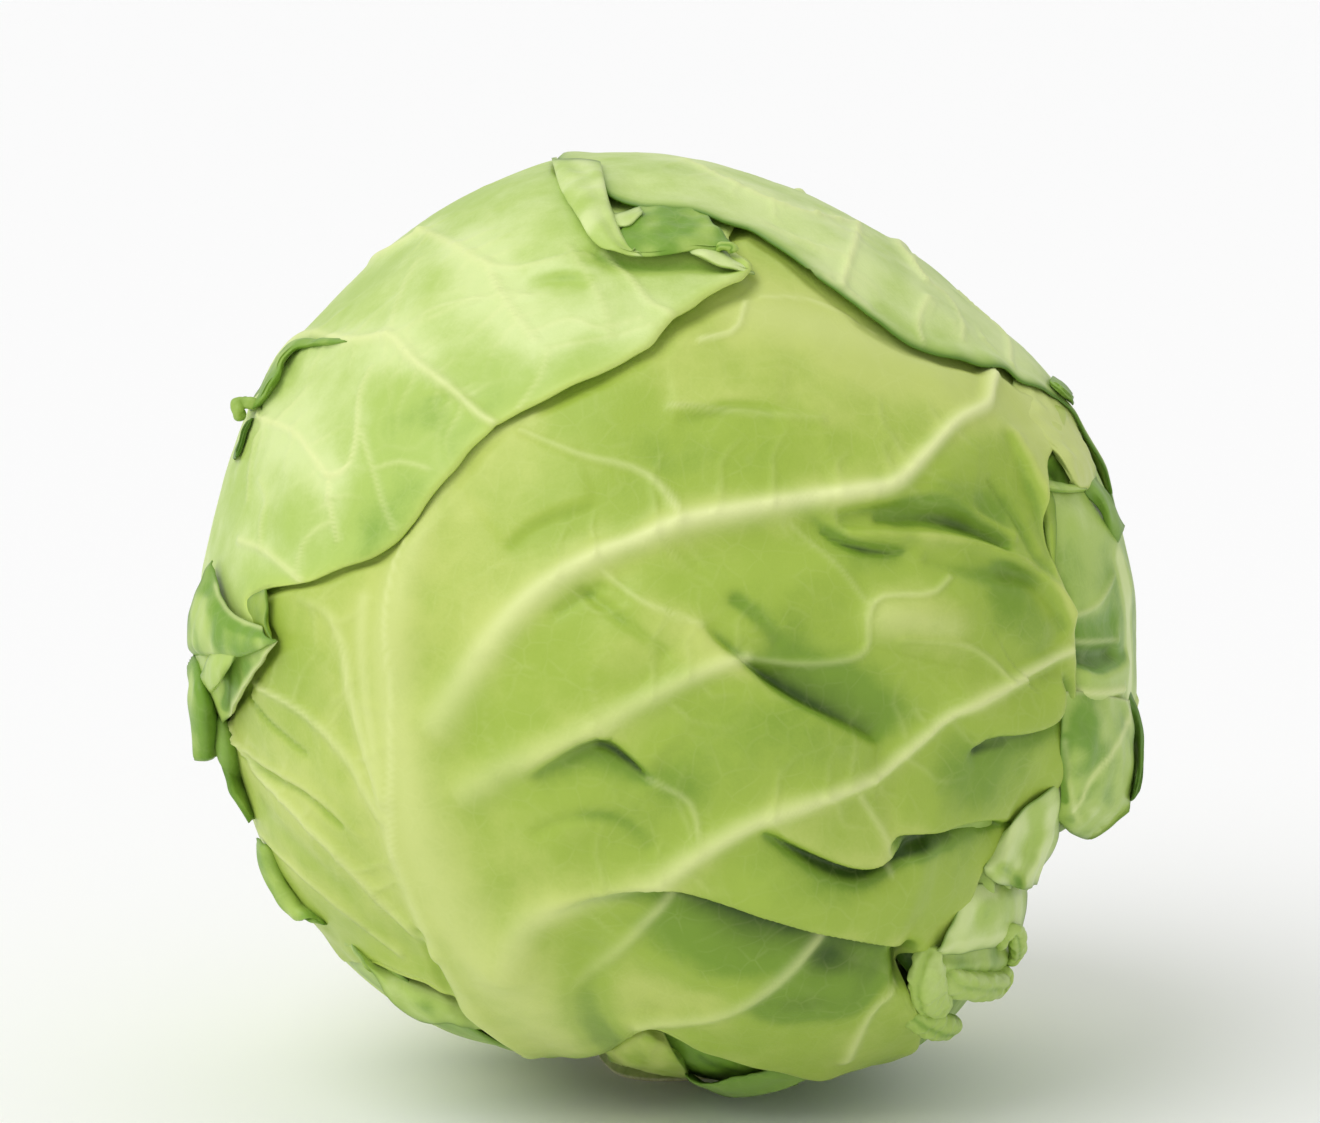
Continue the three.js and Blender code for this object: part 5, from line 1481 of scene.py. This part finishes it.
def low_right_lines(draw):
    """The low leaf at the right: short pleats where its edge is crumpled, with painted shade in the
    troughs and the hole.
    """
    vein, swell, fold = draw.draw_vein, draw.draw_swell, draw.draw_fold
    swell(around([(78, -62), (88, -56), (95, -48)]), 6, -2.0, 0.1)
    for path in ([(69.4, -34.6), (71, -44.6), (69.4, -52.6)], [(74, -34.6), (75.4, -44.6), (73, -50.6)], [
        (64, -44.6), (65, -54.6), (63, -63.6),
    ],
                 [(68, -50.6), (69, -58.6)]):
        swell(path, 1.4, 1.2, -0.1)
    swell([(71.8, -34.6), (73, -44.6), (71.4, -51.6)], 1.2, -1.6, 0.3)
    swell([(61, -50.6), (62, -60.6), (60, -66.6)], 1.6, -1.8, 0.4)
    # Painted shade in the hole under the front leaf's edge, with a deep trough.
    swell([(48, -65.6), (48, -72.6)], 4, -7, 2.0)
    fold([(55, -64.6), (62, -63.6), (69, -60.6), (72, -54.6)], (1, 2, 1), 6, 1.2, 1.0)


def base_rib(path, width, height):
    """The one rib of a low leaf."""
    return lambda draw: draw.draw_vein(around(path), width, height, (0.5, 0.7))


LEAVES = [
    Leaf(
        "leaf_base_back",
        around([(168, -42)]),
        [
            around([
                (168, -4), (140, -10), (118, -28), (116, -50), (130, -70), (168, -78), (-155, -72),
                (-135, -56), (-132, -30), (-150, -10),
            ]),
        ],
        80, 1.2, "deep_green_leaf",
        base_rib([(168, -74), (168, -50), (166, -20)], (7, 2), (3, 0.8)),
        tone=0.8,
    ),
    Leaf(
        "leaf_base_left",
        around([(-88, -46)]),
        [
            around([
                (-88, -16), (-60, -26), (-44, -44), (-38, -62), (-50, -76), (-95, -78), (-122, -66),
                (-126, -46), (-116, -26),
            ]),
        ],
        80, 1.0, "green_leaf",
        base_rib([(-80, -74), (-84, -50), (-88, -28)], (6, 2), (2.4, 0.8)),
        tone=0.7, lift=0.4, net=0.3,
    ),
    Leaf(
        "leaf_base_right",
        around([(38, -66)]),
        [around([(38, -54), (18, -58), (6, -66), (10, -76), (60, -80), (68, -72), (60, -63), (48, -56)])],
        80, 0.4, "deep_green_leaf", None, tone=0.4, lift=2.0, floor=-2.0,
    ),
    Leaf(
        "leaf_low_right",
        around([(66, -34)]),
        [
            around([(66, -2), (40, -8), (32, -30), (38, -52)]),
            front([(49.4, -75.2), (53, -73)]),
            around([(92, -72), (126, -74), (126, -48), (122, -26), (104, -6)]),
        ],
        150, 1.5, "green_leaf", low_right_lines, tone=0.75, net=0.3,
    ),
    Leaf(
        "leaf_right",
        around([(88, 8)]),
        [
            around([(88, 54), (60, 46), (50, 20), (50, -8)]),
            front([(69, -37.6), (78.6, -39.8), (83, -42.2), (85.4, -42.4), (89, -40.4), (93, -36.6)]),
            around([
                (84, -24), (98, -24), (112, -28), (126, -44), (146, -64), (148, -50), (140, -22),
                (134, 10), (122, 38),
            ]),
        ],
        180, 1.6, "green_leaf", right_leaf_lines, tone=0.72, net=0.3,
    ),
    Leaf(
        "leaf_front",
        front([(0, -4)]),
        [
            front([
                (-7, -80.6), (-4.6, -79), (-2.6, -79.4), (1.4, -81), (7, -84.6), (15, -87.4), (23, -89.2),
                (31, -90.2), (41, -91.2), (50.6, -87.8), (54, -83.6), (50.6, -80.2), (48.2, -74.6),
                (47.8, -69.4), (50.2, -65), (53.4, -65.6), (57, -61.6), (60.6, -54.6), (64, -47.8),
                (69, -43.8), (74, -38.2), (77.4, -33.8), (79.8, -26.6), (81.2, -14.6), (81.2, -2.6),
                (79.4, 5.4), (77.8, 10.4), (76.4, 16.4), (75, 22.4), (74.6, 27.4), (75.4, 32.4),
                (77.4, 36.4), (79.8, 40.4), (79, 46.4), (75, 59.4), (59, 75.4), (39, 87.4), (19, 91.4),
                (-5, 79.4), (-29, 61.4), (-53, 41.4), (-69, 29.4), (-83, 21.4),
            ]),
            around([(-103, 10), (-104, -14), (-105, -30), (-96, -42), (-76, -44)]),
            front([(-58, -65.6), (-47, -69.6), (-37, -75.6), (-29, -81.6)]),
            around([(-46, -70), (-62, -79), (-36, -80), (-16, -66)]),
        ],
        280, 1.0, "pale_green_leaf", front_leaf_lines, tone=0.36, wave=0.5, floor=-25.0, net=0.14,
        rim_shade_and_glow=-0.5,
    ),
    Leaf(
        "leaf_left",
        around([(-122, 12)]),
        [
            front([
                (13.8, 81), (12.6, 77.4), (13.8, 74.2), (17.4, 71.2), (15.4, 67.8), (7, 63.8),
                (1.4, 60.4), (-3, 55.4), (-13, 49.8), (-23, 45.8), (-33, 40.4), (-38, 36), (-43, 29.8),
                (-49, 22.4), (-53, 17.4), (-58, 13.4), (-64, 12), (-71, 9), (-79, 7.8), (-84, 4.8),
                (-80, 1), (-78.4, -3.2), (-83, -10.2), (-86.6, -14.6), (-88.6, -18.6),
            ]),
            around([
                (-93, -18), (-95, -28), (-98, -40), (-108, -54), (-128, -72), (-156, -75), (-164, -58),
                (-170, -38), (-176, -10), (-176, 22), (170, 50), (120, 74),
            ]),
        ],
        270, 0.7, "green_leaf", left_leaf_lines, tone=0.34, net=0.45, rim_shade_and_glow=-0.9,
    ),
    Leaf(
        "leaf_back",
        around([(162, 24)]),
        [
            front([
                (-21.8, 95), (-20.6, 91), (-13.4, 89.4), (-11.8, 85.4), (-5, 83.8), (5, 83), (8.2, 81.8),
                (11.4, 80.4), (16, 79.6), (22, 75.8), (26, 73), (33, 67.4), (40, 61.4), (48.6, 55.8),
                (56, 53.4), (64, 51.4), (68, 51.4), (71, 49), (78, 45.4), (81, 42.4), (84, 37.4),
                (88, 29.8), (90.6, 25.8),
            ]),
            around([
                (89, 18), (97, 10), (99, -4), (94, -16), (96, -26), (108, -42), (134, -66), (150, -74),
                (178, -74), (-162, -58), (-154, -30), (-149, 0), (-147, 30), (-146, 52), (-142, 68),
                (-125, 76),
            ]),
        ],
        240, 1.1, "green_leaf", back_leaf_lines, tone=0.27, net=0.45, rim_shade_and_glow=1.5,
    ),
]


# ---------------------------------------------------------------- heart and stem


FLUTES = 17  # round the stem
HEART_INSET = 9.5  # from the head's outer surface to the heart's


def add_heart(materials):
    """The tight inner head: a ball of directions at the head's radius less an inset, with the edges
    of its wrapped leaves as low steps that wind round it."""
    rows, columns = 80, 140
    up = np.linspace(-math.pi / 2, math.pi / 2, rows + 2)[1:-1]
    turn = np.arange(columns) * 2 * math.pi / columns
    up, turn = np.meshgrid(up, turn, indexing="ij")
    dirs = np.stack([np.cos(up) * np.cos(turn), np.cos(up) * np.sin(turn), np.sin(up)], -1).reshape(-1, 3)
    dirs = np.concatenate([dirs, [[0, 0, -1.0], [0, 0, 1.0]]])
    wind = np.arctan2(dirs[:, 1], dirs[:, 0]) / (2 * math.pi) * 3 + dirs[:, 2] * 1.6
    step = np.mod(wind, 1) * smoothstep(np.mod(wind, 1), 1.0, 0.97)
    fade = smoothstep(np.abs(dirs[:, 2]), 0.97, 0.85)
    inset = HEART_INSET - 1.2 * step * fade - 0.3 * soft_noise(dirs * HALF_DEPTH, 25, 7)
    radius = head_radius(dirs, -inset, STEM_HEIGHT + 1)
    points = MIDDLE + dirs * radius[:, None]
    at = np.arange(rows * columns).reshape(rows, columns)
    right = np.roll(at, -1, 1)
    cells = np.stack([at[:-1], right[:-1], right[1:], at[1:]], -1).reshape(-1, 4)
    faces = np.concatenate([cells[:, [0, 1, 2]], cells[:, [0, 2, 3]]])
    ends = [(rows * columns, right[0], at[0]), (rows * columns + 1, at[-1], right[-1])]
    for pole, a, b in ends:
        faces = np.concatenate([faces, np.stack([np.full(columns, pole), a, b], -1)])
    values = {"vein": step * 0, "net": step * 0, "tone": 0.25 + 0.3 * step * fade, "rim": step * 0}
    write_mesh("heart_leaves", points, faces_out(points, faces), values, materials["heart_leaves"],
               ["heart"])


def add_stem(materials):
    """The cut stem: rings of an uneven circle carried up a profile, closed by a cut face that is
    slightly hollow and shows the ring of strands under the skin."""
    profile = np.array(
        [(0.0, 0.75), (0.3, 0.68), (0.55, 0.5), (0.7, 0.3), (0.8, 0.12), (0.88, 0.0), (0.925, 0.0)]
        + [(0.975, 0.35), (0.995, 0.9), (1.0, 1.8), (0.985, 4.0), (0.965, 6.5), (0.97, 9.0), (1.0, 11.5)]
        + [(1.03, 13.0), (0.6, 13.2)]
        + [(0.0, 13.3)]
    )
    rows, columns = 60, 132
    run = open_curve(profile, rows)[1:-1]
    turn = np.arange(columns) * 2 * math.pi / columns
    size = STEM_RADIUS + 0.7 * np.sin(3 * turn + 1) + 0.4 * np.sin(5 * turn)
    radius = run[:, :1] * size
    height = np.repeat(run[:, 1:], columns, 1)
    points = np.stack([radius * np.cos(turn), radius * np.sin(turn), height], -1)
    flat = points.reshape(-1, 3)
    side = smoothstep(flat[:, 2], 0.8, 2.5) * smoothstep(flat[:, 2], 12.8, 11)
    fluting = 0.35 * fluting_of(flat) + 0.5 * soft_noise(flat, 7, 3)
    flat[:, :2] *= (1 - side * (0.3 + 0.5 * np.abs(fluting)) / STEM_RADIUS)[:, None]
    points = np.concatenate([flat, [[0, 0, 0.75], [0, 0, 13.3]]])
    points[:, 2] = np.maximum(points[:, 2], 0)
    at = np.arange(len(flat)).reshape(-1, columns)
    right = np.roll(at, -1, 1)
    cells = np.stack([at[:-1], right[:-1], right[1:], at[1:]], -1).reshape(-1, 4)
    faces = np.concatenate([cells[:, [0, 1, 2]], cells[:, [0, 2, 3]]])
    for pole, a, b in [(len(flat), right[0], at[0]), (len(flat) + 1, at[-1], right[-1])]:
        faces = np.concatenate([faces, np.stack([np.full(columns, pole), a, b], -1)])
    level = np.hypot(points[:, 0], points[:, 1])
    cut = smoothstep(points[:, 2], 1.2, 0.6)
    ring = np.exp(-(((level - 0.72 * STEM_RADIUS) / 1.3) ** 2)) * cut
    values = {"vein": cut, "net": ring, "tone": 0.5 + 0.2 * fluting_of(points), "rim": 1 - cut}
    faces = faces_out(points, faces)
    write_mesh("stem_fine", points, faces, values, materials["cut_stem"], ["stem"])


def fluting_of(points):
    """Waves round the stem, from -1 to 1."""
    return np.sin(np.arctan2(points[:, 1], points[:, 0]) * FLUTES)


# ---------------------------------------------------------------- materials


class Value:
    """A socket that takes part in arithmetic. Each operator adds a Math node and gives its result."""

    def __init__(self, shader, socket):
        self.shader = shader
        self.socket = socket

    def math(self, operation, *values):
        return self.shader.node("ShaderNodeMath", {"operation": operation}, values)[0]

    def __add__(self, other):
        return self.math("ADD", self, other)

    def __sub__(self, other):
        return self.math("SUBTRACT", self, other)

    def __rsub__(self, other):
        return self.math("SUBTRACT", other, self)

    def __mul__(self, other):
        return self.math("MULTIPLY", self, other)

    def __truediv__(self, other):
        return self.math("DIVIDE", self, other)

    def __pow__(self, other):
        return self.math("POWER", self, other)

    __radd__ = __add__
    __rmul__ = __mul__

    def clamped(self):
        return self.math("MINIMUM", self.math("MAXIMUM", self, 0.0), 1.0)

    def ramp(self, low, high):
        """0 at low and 1 at high, smooth between them."""
        settings = {"interpolation_type": "SMOOTHSTEP"}
        values = {"Value": self, "From Min": low, "From Max": high}
        return self.shader.node("ShaderNodeMapRange", settings, values)[0]


class Shader:
    """The nodes of a material or a world, added one call at a time."""

    def __init__(self, owner):
        self.owner = owner
        owner.use_nodes = True
        self.tree = owner.node_tree
        self.tree.nodes.clear()

    def node(self, kind, settings=None, values=()):
        """Adds a node of a kind with its settings, and puts values or links in its sockets, by
        place or by name. It gives the node's results that are on."""
        node = self.tree.nodes.new(kind)
        for key, setting in (settings or {}).items():
            setattr(node, key, setting)
        pairs = values.items() if isinstance(values, dict) else enumerate(values)
        for key, value in pairs:
            socket = node.inputs[key]
            if isinstance(value, Value):
                self.tree.links.new(value.socket, socket)
            else:
                socket.default_value = value
        return [Value(self, socket) for socket in node.outputs if socket.enabled]

    def attribute(self, name):
        return self.node("ShaderNodeAttribute", {"attribute_name": name})[2]

    def place(self):
        """The place on the object, in millimetres."""
        place = self.node("ShaderNodeTexCoord")[3]
        return self.node("ShaderNodeVectorMath", {"operation": "SCALE"}, {0: place, "Scale": 1000.0})[0]

    def noise(self, place, scale, detail=3.0, roughness=0.55):
        values = {"Vector": place, "Scale": scale, "Detail": detail, "Roughness": roughness}
        return self.node("ShaderNodeTexNoise", {}, values)[0]

    def net(self, place, scale, randomness=1.0):
        """The distance to the edge of the nearest cell."""
        values = {"Vector": place, "Scale": scale, "Randomness": randomness}
        return self.node("ShaderNodeTexVoronoi", {"feature": "DISTANCE_TO_EDGE"}, values)[0]

    def mix(self, share, one, other, blend="MIX"):
        settings = {"data_type": "RGBA", "blend_type": blend}
        return self.node("ShaderNodeMix", settings, {0: share, 6: one, 7: other})[0]


def colour(red, green, blue):
    """A colour as the shader wants it, from how it looks on a screen (0 to 255)."""
    straight = [c / 255 for c in (red, green, blue)]
    return [c / 12.92 if c <= 0.04045 else ((c + 0.055) / 1.055) ** 2.4 for c in straight] + [1.0]


# Rim colours: painted shade along a leaf's rolled edge over its deeper green, and a painted glow of light
# through a thin edge.
RIM_SHADE = colour(96, 136, 44)
RIM_GLOW = colour(204, 222, 112)


def leaf_finish(name, pale, middle, deep, dark, vein, gloss=0.42):
    """Waxy leaf: its green goes from pale to deep with the tone drawn on it, which holds painted shade
    in creases and hollows, and slow noise, with pale veins in three sizes, a darker rim that is the
    margin's deeper green with painted shade of its rolled edge, on some leaves a paler rim painted as
    light glowing through the thin edge, and a fine grain that stands out a little."""
    shader = Shader(bpy.data.materials.new(name))
    place = shader.place()
    bend = shader.node("ShaderNodeTexNoise", {}, {"Vector": place, "Scale": 0.12, "Detail": 0.0})[1]
    shift = shader.node("ShaderNodeVectorMath", {"operation": "SCALE"}, {0: bend, "Scale": 5.0})[0]
    bent = shader.node("ShaderNodeVectorMath", {"operation": "ADD"}, {0: place, 1: shift})[0]
    slow = shader.noise(place, 0.035, 2.0)
    cloud = shader.noise(place, 0.16, 3.0)
    grain = shader.noise(place, 1.6, 1.0, 0.6)
    lines = shader.net(bent, 0.2)
    tone = shader.attribute("tone") + (slow - 0.5) * 0.75 + (cloud - 0.5) * 0.35 + (grain - 0.5) * 0.08
    veins = shader.attribute("vein").clamped()
    net = shader.attribute("net")
    rim = shader.attribute("rim")
    flesh = shader.mix(tone.ramp(0.0, 0.5), pale, middle)
    flesh = shader.mix(tone.ramp(0.5, 1.0), flesh, deep)
    # Tone above 1, mostly painted shade in holes and creases, turns the green dark.
    flesh = shader.mix(tone.ramp(1.05, 2.1), flesh, dark)
    fine = (1 - lines.ramp(0.0, 0.07)) * cloud.ramp(0.3, 0.7) * 0.06
    flesh = shader.mix((fine + net * 0.2).clamped(), flesh, vein)
    # The rim: painted shade of the rolled edge where positive, a painted glow through the thin edge where
    # negative.
    flesh = shader.mix((rim * 0.7).clamped(), flesh, RIM_SHADE)
    flesh = shader.mix((rim * -0.8).clamped(), flesh, RIM_GLOW)
    flesh = shader.mix(veins * 0.92, flesh, vein)
    bump = shader.node("ShaderNodeBump", {}, {"Strength": 0.3, "Distance": 0.00015, "Height": grain})[0]
    rough = gloss + (cloud - 0.5) * 0.18 + veins * 0.08
    finish(shader, flesh, rough, bump)
    return shader.owner


def finish(shader, flesh, rough, bump):
    """The surface itself, a soft waxy gloss over its colour."""
    values = {
        "Base Color": flesh,
        "Roughness": rough,
        "Normal": bump,
        "IOR": 1.42,
        "Specular IOR Level": 0.42,
    }
    surface = shader.node("ShaderNodeBsdfPrincipled", {}, values)[0]
    shader.node("ShaderNodeOutputMaterial", {}, {"Surface": surface})


def stem_finish(name):
    """Pale woody flesh with a ring of strands where it is cut, and a greener, scarred skin."""
    shader = Shader(bpy.data.materials.new(name))
    place = shader.place()
    cloud = shader.noise(place, 0.25, 4.0)
    grain = shader.noise(place, 1.8, 4.0)
    cut = shader.attribute("vein")
    ring = shader.attribute("net")
    skin = shader.mix(cloud.ramp(0.3, 0.7), colour(176, 190, 108), colour(138, 156, 78))
    skin = shader.mix(grain.ramp(0.62, 0.8) * 0.5, skin, colour(150, 140, 92))
    flesh = shader.mix(grain.ramp(0.35, 0.7), colour(226, 226, 184), colour(205, 206, 152))
    flesh = shader.mix(ring * 0.55, flesh, colour(178, 184, 118))
    values = {"Strength": 0.5, "Distance": 0.0008, "Height": grain + cloud}
    bump = shader.node("ShaderNodeBump", {}, values)[0]
    finish(shader, shader.mix(cut, skin, flesh), 0.62 + (grain - 0.5) * 0.2, bump)
    return shader.owner


# The dark green is reached where painted shade in holes and creases raises the tone past 1.
LEAF_COLOURS = {
    "pale_green_leaf": ("pale_leaf", (192, 206, 108), (160, 185, 70), (122, 155, 48), (56, 84, 18)),
    "green_leaf": ("green_leaf", (210, 226, 152), (174, 200, 98), (118, 158, 52), (58, 92, 20)),
    "deep_green_leaf": ("deep_leaf", (176, 204, 108), (132, 168, 70), (92, 130, 46), (50, 80, 24)),
    "heart_leaves": ("heart_leaf", (224, 230, 172), (206, 218, 140), (178, 200, 108), (120, 150, 60)),
}  # pale, middle, deep and dark


def make_materials():
    vein = colour(228, 235, 166)
    finishes = {"cut_stem": stem_finish("cut_stem_flesh")}
    for slot, (name, *greens) in LEAF_COLOURS.items():
        finishes[slot] = leaf_finish(name, *(colour(*green) for green in greens), vein)
    return finishes


# ---------------------------------------------------------------- floor and light


TABLE_HALF = 12000.0


def add_floor():
    """A pale table, as a large square."""
    half = TABLE_HALF
    corners = np.array([(-half, -half, 0), (half, -half, 0), (half, half, 0), (-half, half, 0)])
    mesh = bpy.data.meshes.new("floor")
    mesh.from_pydata((corners / 1000).tolist(), [], [(0, 1, 2, 3)])
    shader = Shader(bpy.data.materials.new("pale_table"))
    values = {"Base Color": colour(250, 250, 250), "Roughness": 0.7, "Specular IOR Level": 0.2}
    surface = shader.node("ShaderNodeBsdfPrincipled", {}, values)[0]
    shader.node("ShaderNodeOutputMaterial", {}, {"Surface": surface})
    mesh.materials.append(shader.owner)
    floor = bpy.data.objects.new("floor", mesh)
    bpy.context.scene.collection.objects.link(floor)


KEY_WAY = (0.5, 0.42, -0.76)  # where the key light shines to
KEY_STRENGTH = 1.3
KEY_ANGLE = math.radians(50)  # how wide the key light is, which softens its shadows
BRIGHT_SIDE = (-0.5, 0.1, 0.86)  # where the sky is brightest, as a direction
BRIGHT_SKY = 0.92
DIM_SKY = 0.56


def add_lights():
    world = bpy.data.worlds.new("studio")
    world.use_nodes = True
    sky = Shader(world)
    way = sky.node("ShaderNodeTexCoord")[0]
    towards = sky.node("ShaderNodeVectorMath", {"operation": "DOT_PRODUCT"}, {0: way, 1: BRIGHT_SIDE})[0]
    strength = DIM_SKY + (BRIGHT_SKY - DIM_SKY) * towards.ramp(-0.5, 0.35)
    light = sky.node("ShaderNodeBackground", {}, {"Strength": strength})[0]
    sky.node("ShaderNodeOutputWorld", {}, {"Surface": light})
    bpy.context.scene.world = world
    key = bpy.data.lights.new("key", "SUN")
    key.energy = KEY_STRENGTH
    key.angle = KEY_ANGLE
    lamp = bpy.data.objects.new("key", key)
    lamp.rotation_euler = Vector(KEY_WAY).to_track_quat("-Z", "Y").to_euler()
    bpy.context.scene.collection.objects.link(lamp)
    bpy.context.scene.view_settings.view_transform = "Standard"


# ---------------------------------------------------------------- the whole

materials = make_materials()
add_stem(materials)
add_heart(materials)
for number in range(len(LEAVES)):
    add_leaf(LEAVES, number, materials)
add_crown(materials)
add_left_crumple(materials)
add_low_right(materials)
add_right_edge(materials)
add_foot(materials)
add_floor()
add_lights()
